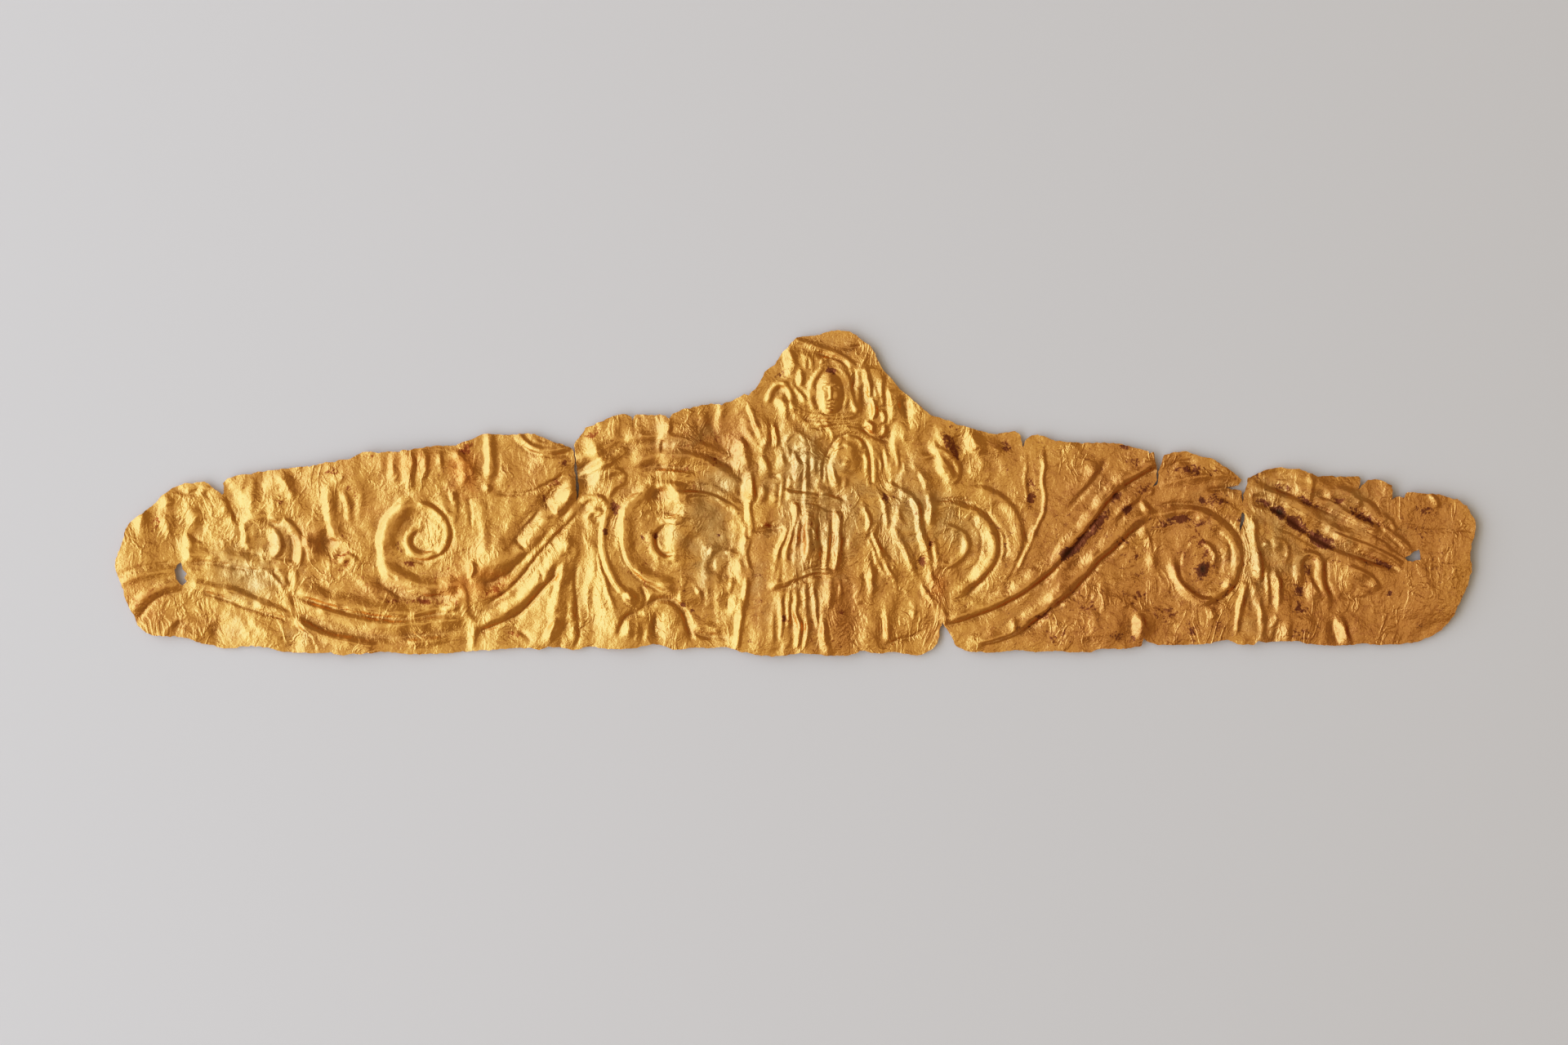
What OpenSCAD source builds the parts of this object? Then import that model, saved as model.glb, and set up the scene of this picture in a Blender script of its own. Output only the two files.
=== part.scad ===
// Pediment-shaped diadem of thin sheet gold, one piece, embossed from behind.
// It lies face up: X runs along the band, Y towards the central peak, Z is the
// face. The origin is under the middle of its box, on the surface it lies on.

/* [Sheet] */
// Length of the band from end to end
sheet_len = 199.4; // [180:0.2:220]
// Thickness of the sheet
sheet_t = 0.2; // [0.2:0.05:0.5]

/* [Relief] */
// Height of the embossed scrolls above the ground
relief_h = 0.9; // [0.4:0.1:1.3]
// Height of the slow waves that the sheet has taken
wave_h = 1.2; // [0.2:0.1:1.6]
// Height of the creases that cross the sheet
crease_h = 0.7; // [0:0.1:1.2]

/* [Tie holes] */
// Size of the two pierced tie holes, as a share of their charted size
tie_hole = 1.0; // [0.7:0.05:1.2]

/* [Mesh] */
// Rows of facets between the lower and the upper edge
rows = 14; // [14:1:20]
// Widest step between two columns of facets, in chart units
max_step = 15; // [14:1:20]

/* [Hidden] */

// The chart is drawn at 1662 units to the full length, x to the right and y
// down, and its middle is at 974, 605. Every table below is in chart units.
u = sheet_len / 1662;
MID = [974, 605];

// The upper edge from the left end to the right one, with its tears: [x, y]
TOP = [
  [143, 684], [149, 668], [154, 650], [165, 636], [185, 622], [200, 606],
  [215, 595], [240, 590], [252, 591], [266, 602], [273, 606], [275, 591],
  [292, 583], [313, 582], [320, 577], [345, 575], [380, 572], [400, 566],
  [430, 563], [445, 555], [475, 552], [515, 549], [530, 547], [557, 546],
  [585, 536], [600, 532], [650, 532], [680, 542], [698, 547], [702, 551],
  [705, 618], [708, 538], [716, 525], [735, 516], [755, 507], [774, 512],
  [800, 508], [819, 512], [830, 504], [858, 496], [883, 496], [897, 491],
  [911, 484], [918, 484], [930, 468], [940, 453], [952, 439], [967, 423],
  [976, 414], [1000, 410], [1028, 405], [1050, 411], [1068, 426],
  [1080, 450], [1093, 467], [1112, 486], [1129, 502], [1150, 512],
  [1168, 518], [1198, 527], [1220, 532], [1233, 529], [1246, 531],
  [1250, 537], [1252, 549], [1257, 537], [1270, 533], [1295, 541],
  [1345, 542], [1373, 544], [1395, 550], [1412, 556], [1415, 570],
  [1417, 592], [1420, 573], [1427, 559], [1442, 553], [1460, 556],
  [1490, 566], [1510, 578], [1517, 590], [1519, 645], [1522, 606],
  [1528, 586], [1543, 578], [1560, 573], [1592, 575], [1610, 583],
  [1655, 583], [1660, 586], [1662, 600], [1667, 594], [1678, 588],
  [1692, 590], [1702, 596], [1704, 613], [1709, 608], [1719, 609],
  [1724, 604], [1763, 606], [1782, 611], [1795, 619], [1801, 628],
  [1805, 643]
];

// The lower edge from the left end to the right one: [x, y]
BOTTOM = [
  [143, 692], [146, 705], [155, 733], [165, 756], [176, 773], [200, 779],
  [230, 782], [255, 789], [270, 794], [315, 792], [350, 798], [395, 800],
  [420, 802], [470, 799], [520, 801], [570, 797], [610, 794], [660, 796],
  [680, 792], [702, 796], [725, 792], [760, 795], [798, 788], [828, 795],
  [880, 792], [910, 799], [945, 804], [975, 800], [1008, 804], [1040, 802],
  [1057, 796], [1073, 800], [1095, 797], [1122, 803], [1138, 797],
  [1149, 780], [1151, 764], [1155, 763], [1163, 775], [1170, 787],
  [1187, 797], [1220, 798], [1247, 795], [1270, 799], [1310, 799],
  [1345, 794], [1390, 791], [1398, 789], [1400, 781], [1406, 786],
  [1430, 789], [1475, 788], [1500, 784], [1528, 790], [1545, 786],
  [1580, 785], [1603, 788], [1645, 791], [1690, 790], [1720, 788],
  [1742, 784], [1767, 769], [1780, 748], [1790, 725], [1799, 702],
  [1802, 662], [1805, 655]
];

// Embossed stems and bands. Each row: [half width, height share, points along the crest]
RIDGES = [
  // the two stems at the left end, and how they go on past the fold
  [11, 0.6, [[148, 696], [180, 686], [215, 681], [260, 684], [300, 692], [325, 689]]],
  [13, 0.8, [[166, 748], [185, 727], [215, 713], [250, 719], [290, 732], [330, 745], [352, 749]]],
  [11, 0.7, [[366, 716], [400, 736], [450, 748], [510, 752], [562, 748]]],
  [12, 0.6, [[366, 766], [400, 782], [450, 791], [505, 791], [560, 780]]],
  // the stems that rise to the tear
  [13, 1.0, [[575, 712], [605, 692], [635, 667], [660, 638], [685, 608], [701, 590]]],
  [15, 0.8, [[585, 757], [620, 742], [645, 722], [664, 695], [690, 655]]],
  [10, 0.9, [[704, 626], [694, 665], [686, 700], [680, 740], [668, 790]]],
  // the outer arms beside the second scroll
  [11, 0.8, [[742, 626], [735, 655], [739, 685], [752, 710], [768, 730]]],
  [12, 0.6, [[718, 574], [760, 556], [810, 545], [860, 552], [905, 577]]],
  [13, 0.7, [[745, 606], [790, 592], [840, 585], [880, 594], [917, 612]]],
  // the stems that leave the figure on the right
  [13, 0.9, [[1158, 753], [1190, 744], [1220, 728], [1250, 704], [1275, 672], [1283, 640]]],
  [15, 1.0, [[1235, 735], [1275, 700], [1310, 660], [1340, 622], [1370, 588], [1412, 562]]],
  [13, 0.8, [[1262, 748], [1300, 716], [1335, 683], [1370, 652], [1404, 632], [1440, 624]]],
  [11, 0.7, [[1196, 600], [1222, 616], [1240, 642], [1244, 668], [1232, 697], [1205, 722], [1176, 738]]],
  // the stems of the right end
  [12, 0.8, [[1530, 597], [1570, 610], [1610, 640], [1650, 662], [1700, 678]]],
  [11, 0.6, [[1590, 600], [1640, 618], [1680, 640], [1716, 668]]],
  [12, 0.6, [[1592, 690], [1604, 715], [1622, 738]]]
];

// Spiral scrolls. Each row: [centre x, centre y, start radius, end radius, start angle, turn, half width, height share]
SCROLLS = [
  [512, 662, 62, 14, -250, 470, 12, 1.0],
  [820, 660, 58, 20, 60, 400, 12, 0.9],
  [1160, 662, 52, 18, 110, -400, 11, 0.9],
  [1470, 686, 56, 14, 150, -470, 11, 0.9]
];

// Rounded bosses and the figure's forms. Each row: [x, y, half length, half width, turned by, height share]
BOSSES = [
  [1016, 478, 30, 19, 88, 1.3],    // head
  [1015, 455, 34, 14, 10, 0.9],    // hair
  [954, 485, 24, 14, 60, 0.9],     // wing by the head, left
  [1062, 478, 44, 13, 85, 0.8],    // veil by the head, right
  [990, 560, 34, 18, 85, 0.8],     // breast, left
  [1040, 565, 36, 22, 80, 0.8],    // breast, right
  [996, 612, 40, 9, 8, 0.7],       // belt
  [1000, 660, 52, 34, 88, 0.6],    // overfold of the dress
  [990, 755, 46, 34, 90, 0.5],     // skirt, left
  [1060, 745, 56, 18, 88, 0.6],    // skirt, right
  [1104, 660, 92, 16, 68, 0.7],    // cloak that falls on the right
  [1108, 742, 28, 12, 65, 0.6],
  [1157, 574, 26, 15, 55, 0.9],    // bud, right of the figure
  [776, 736, 15, 12, 40, 1.0],     // drop at the arm's end
  [776, 774, 24, 15, 80, 0.9],     // bird, head end
  [815, 765, 34, 22, 70, 1.0],     // bird, breast
  [890, 700, 44, 16, 60, 0.5],
  [405, 630, 36, 14, 75, 1.0],     // leaf, left
  [385, 668, 22, 16, 20, 0.7],
  [340, 650, 34, 18, 70, 0.7],
  [202, 645, 18, 12, 85, 0.8],
  [234, 633, 18, 14, 20, 0.7],
  [578, 640, 60, 14, 84, 0.7],     // small figure, left
  [596, 600, 11, 9, 0, 0.8],
  [655, 537, 26, 12, 15, 0.7],
  [1556, 680, 20, 16, 40, 0.7],    // small figure, right
  [1535, 690, 60, 9, 86, 0.9],
  [1558, 735, 44, 10, 82, 0.9],
  [1598, 688, 18, 15, 30, 0.8],
  [1390, 768, 22, 10, 65, 0.7]
];

// Slow waves of the ground. Each row: [x, y, reach along, reach across, height share]
WAVES = [
  [190, 700, 90, 120, 0.5],
  [300, 760, 110, 70, -0.35],
  [420, 600, 120, 80, 0.45],
  [560, 760, 140, 70, -0.5],
  [640, 600, 100, 90, 0.4],
  [760, 700, 90, 130, 0.75],
  [880, 560, 90, 90, -0.35],
  [1010, 640, 90, 200, 0.8],
  [1020, 440, 90, 60, -0.3],
  [1160, 620, 80, 120, -0.45],
  [1270, 700, 110, 120, 0.4],
  [1400, 640, 120, 110, -0.3],
  [1520, 720, 90, 110, 0.55],
  [1640, 620, 120, 80, -0.35],
  [1770, 700, 80, 130, 0.5]
];

// Sharp creases across the sheet: [half width, height share, points]
CREASES = [
  [9, 0.7, [[352, 636], [367, 652], [366, 690], [360, 726], [358, 756], [384, 786]]],
  [9, 0.5, [[556, 716], [568, 736], [572, 752], [580, 775], [572, 797]]],
  [9, -0.4, [[812, 512], [812, 548]]],
  [10, 0.8, [[900, 540], [919, 574], [921, 612], [916, 660], [916, 720], [905, 790]]],
  [9, -0.5, [[934, 490], [944, 530], [958, 580], [946, 632]]],
  [8, 0.4, [[1118, 512], [1104, 530], [1118, 570], [1136, 612], [1136, 650]]],
  [8, 0.4, [[1277, 548], [1278, 600], [1270, 650]]],
  [8, 0.5, [[1600, 582], [1602, 612]]],
  [8, 0.5, [[1636, 750], [1648, 788]]]
];

// Tie holes. Each row: [first column's x, second column's x, lower y, middle y, upper y, lower row]
HOLES = [
  [216, 230, 716, 703, 690, 5],
  [1724, 1738, 688, 682, 675, 7]
];

function unique(v, gap) = [for (i = [0:len(v) - 1]) if (i == 0 || v[i] - v[i - 1] > gap) v[i]];
function sorted(v) = len(v) <= 1 ? v :
  let (p = v[floor(len(v) / 2)])
  concat(sorted([for (a = v) if (a < p) a]), [for (a = v) if (a == p) a], sorted([for (a = v) if (a > p) a]));

// Columns of facets: the stations of the upper edge and of the holes, those of the
// lower edge that stand clear of them, and steps between them
main = concat([for (p = TOP) p[0]], [for (h = HOLES) each [h[0], h[1]]]);
function clear_of(x, v, gap) = len([for (a = v) if (abs(a - x) < gap) 1]) == 0;
stations = unique(sorted(concat(main, [for (p = BOTTOM) if (clear_of(p[0], main, 9)) p[0]])), 0.4);
cols = [for (i = [0:len(stations) - 1])
  if (i == 0) stations[0]
  else let (a = stations[i - 1], b = stations[i], n = ceil((b - a) / max_step))
    each [for (k = [1:n]) a + (b - a) * k / n]];
nc = len(cols);
nr = rows + 1;

function smooth(t) = 0.5 + 0.5 * cos(180 * min(1, t));
// Distance from p to the segment a-b
function seg_d(p, a, b) =
  let (d = b - a, q = d * d, t = q == 0 ? 0 : max(0, min(1, ((p - a) * d) / q)))
  norm(p - a - t * d);

function scroll_points(s) = let (n = 20)
  [for (i = [0:n]) let (f = i / n, r = s[2] + (s[3] - s[2]) * f, a = s[4] + s[5] * f)
    [s[0] + r * cos(a), s[1] - r * sin(a)]];

// Every ridge as separate segments: [a, b, half width, height]
function segments(rows) = [for (r = rows) for (i = [0:len(r[2]) - 2]) [r[2][i], r[2][i + 1], r[0], r[1]]];
ridge_segs = concat(segments(RIDGES),
  segments([for (s = SCROLLS) [s[6], s[7], scroll_points(s)]]));
crease_segs = segments(CREASES);

function near(p, s) =
  abs(p[0] - (s[0][0] + s[1][0]) / 2) < abs(s[0][0] - s[1][0]) / 2 + s[2] &&
  abs(p[1] - (s[0][1] + s[1][1]) / 2) < abs(s[0][1] - s[1][1]) / 2 + s[2];

function ridge_z(p) = max(concat([0],
  [for (s = ridge_segs) if (near(p, s)) s[3] * smooth(seg_d(p, s[0], s[1]) / s[2])],
  [for (b = BOSSES) let (d = p - [b[0], b[1]], c = cos(b[4]), s = sin(b[4]),
      e = norm([(d[0] * c + d[1] * s) / b[2], (d[1] * c - d[0] * s) / b[3]]))
    if (e < 1) b[5] * smooth(e)]));
function crease_z(p) = let (v = [for (s = crease_segs) if (near(p, s)) s[3] * max(0, 1 - seg_d(p, s[0], s[1]) / s[2])])
  len(v) == 0 ? 0 : max(v) + min(concat([0], v));
function wave_z(p) = let (v = [for (w = WAVES) w[4] * exp(-pow((p[0] - w[0]) / w[2], 2) - pow((p[1] - w[1]) / w[3], 2))])
  v * [for (w = v) 1];
function face_z(p) = relief_h * ridge_z(p) + crease_h * crease_z(p) + wave_h * wave_z(p);

// A row's height at a column, then the vertices round a tie hole drawn to its edge
function plain(i, j) = let (x = cols[i], t = lookup(x, TOP), b = lookup(x, BOTTOM)) [x, b + (t - b) * j / rows];
function col_of(x) = [for (i = [0:nc - 1]) if (abs(cols[i] - x) < 0.01) i][0];
holes_at = [for (h = HOLES) [col_of(h[0]), h[5]]];
function hole_mid(h) = [(h[0] + h[1]) / 2, h[3]];
function at(i, j) = let (p = plain(i, j),
    m = [for (k = [0:len(HOLES) - 1]) let (c = holes_at[k][0], r = holes_at[k][1], h = HOLES[k])
      if ((i == c || i == c + 1) && j >= r && j <= r + 2)
        let (q = [i == c ? h[0] : h[1], h[2 + j - r]],
             lean = j == r + 1 ? (i == c ? -1.5 : 1.5) : 0)
        hole_mid(h) + (q + [lean, 0] - hole_mid(h)) * tie_hole])
  len(m) == 0 ? p : m[0];

chart = [for (i = [0:nc - 1]) [for (j = [0:nr - 1]) at(i, j)]];
under = [for (i = [0:nc - 1]) [for (j = [0:nr - 1]) face_z(chart[i][j])]];
low = min([for (c = under) min(c)]);

function open_cell(i, j) = len([for (h = holes_at) if (i == h[0] && (j == h[1] || j == h[1] + 1)) 1]) > 0;

// The sheet: one skin of facets for the face, one for the hollow back, and the rims
module sheet() {
  m = nc * nr;
  function id(i, j) = i * nr + j;
  pts = [for (up = [0, 1]) for (i = [0:nc - 1]) for (j = [0:nr - 1]) let (p = chart[i][j])
    [(p[0] - MID[0]) * u, (MID[1] - p[1]) * u, under[i][j] - low + up * sheet_t]];
  cells = [for (i = [0:nc - 2]) for (j = [0:nr - 2]) if (!open_cell(i, j)) [i, j]];
  back = [for (c = cells) let (a = id(c[0], c[1]), b = id(c[0] + 1, c[1]), d = id(c[0] + 1, c[1] + 1), e = id(c[0], c[1] + 1))
    each [[a, b, d], [a, d, e]]];
  face = [for (t = back) [t[2] + m, t[1] + m, t[0] + m]];
  // Wall between two neighbours of the rim, with the metal on its left as seen from above
  function wall(a, b) = [[a, b + m, b], [a, a + m, b + m]];
  rim = concat(
    [for (i = [0:nc - 2]) each wall(id(i, 0), id(i + 1, 0))],
    [for (i = [0:nc - 2]) each wall(id(i + 1, nr - 1), id(i, nr - 1))],
    [for (j = [0:nr - 2]) each wall(id(0, j + 1), id(0, j))],
    [for (j = [0:nr - 2]) each wall(id(nc - 1, j), id(nc - 1, j + 1))]);
  bore = [for (h = holes_at) let (i = h[0], j = h[1])
    each concat(wall(id(i + 1, j), id(i, j)), wall(id(i, j), id(i, j + 1)), wall(id(i, j + 1), id(i, j + 2)),
      wall(id(i, j + 2), id(i + 1, j + 2)), wall(id(i + 1, j + 2), id(i + 1, j + 1)), wall(id(i + 1, j + 1), id(i + 1, j)))];
  color([0.83, 0.60, 0.25]) polyhedron(points = pts, faces = concat(face, back, rim, bore));
}

sheet();
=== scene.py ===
import math
import bpy
import numpy as np
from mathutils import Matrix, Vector
from mathutils.geometry import delaunay_2d_cdt


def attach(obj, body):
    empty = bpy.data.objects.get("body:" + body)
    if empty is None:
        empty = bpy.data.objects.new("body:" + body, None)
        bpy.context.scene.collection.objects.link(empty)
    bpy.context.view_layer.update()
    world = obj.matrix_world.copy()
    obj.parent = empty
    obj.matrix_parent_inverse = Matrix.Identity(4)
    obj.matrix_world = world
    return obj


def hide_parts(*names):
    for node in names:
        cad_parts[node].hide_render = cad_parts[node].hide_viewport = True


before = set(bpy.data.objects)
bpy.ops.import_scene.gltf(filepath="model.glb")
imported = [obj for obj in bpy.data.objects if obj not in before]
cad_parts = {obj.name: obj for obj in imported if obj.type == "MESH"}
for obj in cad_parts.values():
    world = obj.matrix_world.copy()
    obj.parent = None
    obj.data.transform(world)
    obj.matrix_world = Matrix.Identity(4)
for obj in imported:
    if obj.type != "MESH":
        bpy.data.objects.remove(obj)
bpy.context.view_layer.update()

# ---------------------------------------------------------------------------
# The chart. x runs right and y runs down, in units of 0.12 mm, and (974, 605)
# is the middle of the part's box. Heights are in the same units.
# ---------------------------------------------------------------------------
UNIT = 0.1994 / 1662
MID_X, MID_Y = 974.0, 605.0
SHEET_T = 1.1
rng = np.random.default_rng(11)

# The upper edge from left to right, with its notches and tears
TOP_EDGE = [
    (143, 690), (144, 683), (147, 676), (150, 670), (152, 662), (154, 655), (156, 648), (159, 643), (163, 638),
    (168, 634), (172, 631), (177, 628), (182, 624), (188, 619), (192, 616), (196, 611), (200, 606), (205, 603),
    (210, 600), (216, 596), (222, 594), (227, 592), (235, 592), (242, 591), (252, 590), (256, 593), (262, 598),
    (268, 602), (273, 606), (275, 604), (275, 600), (274, 592), (277, 588), (280, 586), (286, 584), (292, 582),
    (308, 581), (317, 578), (349, 574), (370, 572), (380, 572), (390, 569), (400, 567), (410, 566), (415, 564),
    (430, 562), (435, 559), (440, 556), (448, 554), (455, 553), (465, 555), (475, 553), (488, 554), (492, 552),
    (510, 550), (518, 549), (530, 547), (558, 546), (562, 544), (570, 541), (578, 538), (585, 535), (592, 532),
    (600, 532), (610, 533), (622, 533), (645, 531), (655, 532), (662, 535), (670, 538), (678, 542), (688, 544),
    (695, 547), (700, 549), (703, 553), (704, 575), (706, 598), (707, 619), (709, 600), (707, 578), (705, 558),
    (704, 545), (706, 540), (710, 536), (714, 530), (717, 525), (722, 523), (728, 521), (731, 518), (738, 516),
    (745, 512), (752, 509), (765, 507), (770, 509), (773, 511), (775, 515), (777, 510), (780, 508), (800, 509),
    (808, 508), (815, 509), (819, 513), (824, 507), (832, 504), (838, 501), (855, 498), (860, 496), (870, 495),
    (880, 495), (883, 497), (887, 494), (895, 492), (903, 488), (908, 485), (912, 483), (917, 485), (920, 480),
    (925, 476), (930, 470), (933, 464), (937, 456), (942, 452), (948, 448), (950, 444), (954, 438), (960, 430),
    (966, 424), (971, 418), (976, 414), (982, 413), (990, 412), (997, 411), (1005, 409), (1012, 407), (1020, 406),
    (1028, 405), (1035, 406), (1042, 408), (1048, 411), (1054, 416), (1060, 420), (1066, 425), (1070, 430),
    (1072, 436), (1075, 442), (1078, 448), (1082, 455), (1086, 460), (1090, 463), (1094, 467), (1098, 472),
    (1102, 477), (1106, 480), (1111, 484), (1116, 489), (1122, 494), (1128, 500), (1133, 504), (1140, 509),
    (1148, 511), (1155, 514), (1162, 515), (1167, 518), (1170, 520), (1176, 521), (1185, 524), (1195, 527),
    (1203, 529), (1210, 531), (1220, 532), (1228, 530), (1235, 529), (1242, 529), (1247, 531), (1249, 534),
    (1250, 540), (1252, 548), (1255, 542), (1258, 536), (1263, 534), (1270, 533), (1278, 535), (1285, 538),
    (1292, 540), (1300, 541), (1325, 543), (1340, 542), (1360, 543), (1370, 544), (1378, 546), (1392, 549),
    (1400, 551), (1405, 553), (1407, 556), (1412, 554), (1413, 559), (1414, 566), (1416, 574), (1416, 588),
    (1413, 592), (1410, 596), (1415, 594), (1418, 587), (1418, 578), (1420, 572), (1422, 565), (1425, 558),
    (1430, 556), (1437, 554), (1450, 553), (1458, 555), (1465, 558), (1472, 560), (1480, 561), (1488, 564),
    (1495, 569), (1502, 574), (1510, 579), (1515, 584), (1519, 588), (1516, 595), (1508, 596), (1500, 597),
    (1508, 599), (1515, 599), (1519, 602), (1520, 609), (1521, 616), (1522, 606), (1524, 602), (1526, 592),
    (1528, 585), (1534, 583), (1538, 582), (1540, 579), (1546, 576), (1552, 574), (1560, 573), (1576, 574),
    (1590, 575), (1598, 578), (1605, 581), (1612, 583), (1650, 584), (1663, 584), (1665, 586), (1663, 596),
    (1662, 600), (1666, 595), (1670, 591), (1674, 588), (1680, 587), (1690, 588), (1696, 591), (1700, 593),
    (1703, 596), (1704, 600), (1703, 613), (1706, 609), (1712, 608), (1718, 610), (1720, 605), (1722, 603),
    (1740, 604), (1750, 605), (1762, 606), (1770, 609), (1777, 610), (1783, 612), (1788, 616), (1794, 619),
    (1798, 625), (1801, 631), (1804, 638), (1805, 646)]

# The right end and the lower edge, from right to left
LOW_EDGE = [
    (1804, 655), (1802, 661), (1800, 666), (1799, 675), (1798, 682), (1800, 690), (1800, 700), (1798, 708),
    (1796, 716), (1792, 724), (1789, 732), (1784, 742), (1780, 752), (1776, 758), (1770, 765), (1765, 771),
    (1758, 775), (1750, 780), (1743, 783), (1735, 786), (1725, 787), (1712, 789), (1700, 789), (1690, 790),
    (1672, 788), (1660, 788), (1655, 790), (1635, 791), (1610, 789), (1600, 788), (1590, 786), (1578, 785),
    (1560, 786), (1550, 787), (1540, 785), (1535, 789), (1522, 790), (1515, 789), (1508, 786), (1504, 783),
    (1490, 785), (1480, 788), (1470, 789), (1450, 789), (1440, 790), (1425, 790), (1415, 789), (1408, 787),
    (1403, 785), (1400, 781), (1398, 785), (1397, 791), (1380, 794), (1370, 795), (1350, 794), (1343, 795),
    (1335, 798), (1310, 799), (1300, 797), (1290, 797), (1270, 799), (1265, 798), (1250, 796), (1240, 796),
    (1230, 798), (1215, 799), (1190, 798), (1180, 796), (1173, 792), (1168, 787), (1165, 779), (1160, 772),
    (1156, 766), (1154, 762), (1151, 768), (1150, 780), (1147, 788), (1142, 794), (1136, 798), (1128, 802),
    (1120, 803), (1112, 801), (1097, 798), (1080, 800), (1070, 800), (1062, 798), (1057, 796), (1050, 799),
    (1035, 803), (1010, 803), (1000, 801), (980, 800), (970, 801), (960, 803), (945, 804), (930, 802),
    (915, 799), (905, 798), (898, 795), (890, 792), (880, 792), (870, 794), (845, 793), (835, 795), (825, 795),
    (810, 790), (800, 788), (788, 791), (780, 794), (760, 795), (740, 794), (723, 791), (708, 795), (702, 796),
    (690, 793), (672, 792), (662, 796), (650, 793), (625, 794), (600, 796), (580, 797), (560, 799), (530, 801),
    (500, 801), (485, 799), (470, 798), (450, 800), (430, 801), (422, 803), (412, 801), (405, 799), (385, 800),
    (370, 799), (350, 798), (338, 796), (330, 793), (308, 791), (298, 792), (288, 794), (272, 794), (266, 793),
    (263, 790), (248, 788), (240, 785), (232, 782), (222, 780), (212, 779), (200, 779), (190, 778), (180, 775),
    (174, 770), (170, 765), (167, 757), (163, 750), (159, 742), (156, 735), (153, 725), (151, 715), (147, 708),
    (144, 702), (143, 695)]

# The two tie holes and the slit in the tear right of the fourth scroll
HOLE_LEFT = [(222, 689), (224, 691), (225, 697), (230, 703), (227, 708), (230, 712), (225, 717), (221, 714),
             (217, 709), (215, 698), (218, 692)]
HOLE_RIGHT = [(1719, 683), (1725, 680), (1730, 675), (1737, 673), (1738, 680), (1738, 686), (1733, 686),
              (1728, 688), (1722, 687)]
SLIT = [(1521, 627), (1523, 630), (1523, 637), (1520, 645), (1518, 652), (1517, 645), (1519, 637), (1519, 630)]

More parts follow.
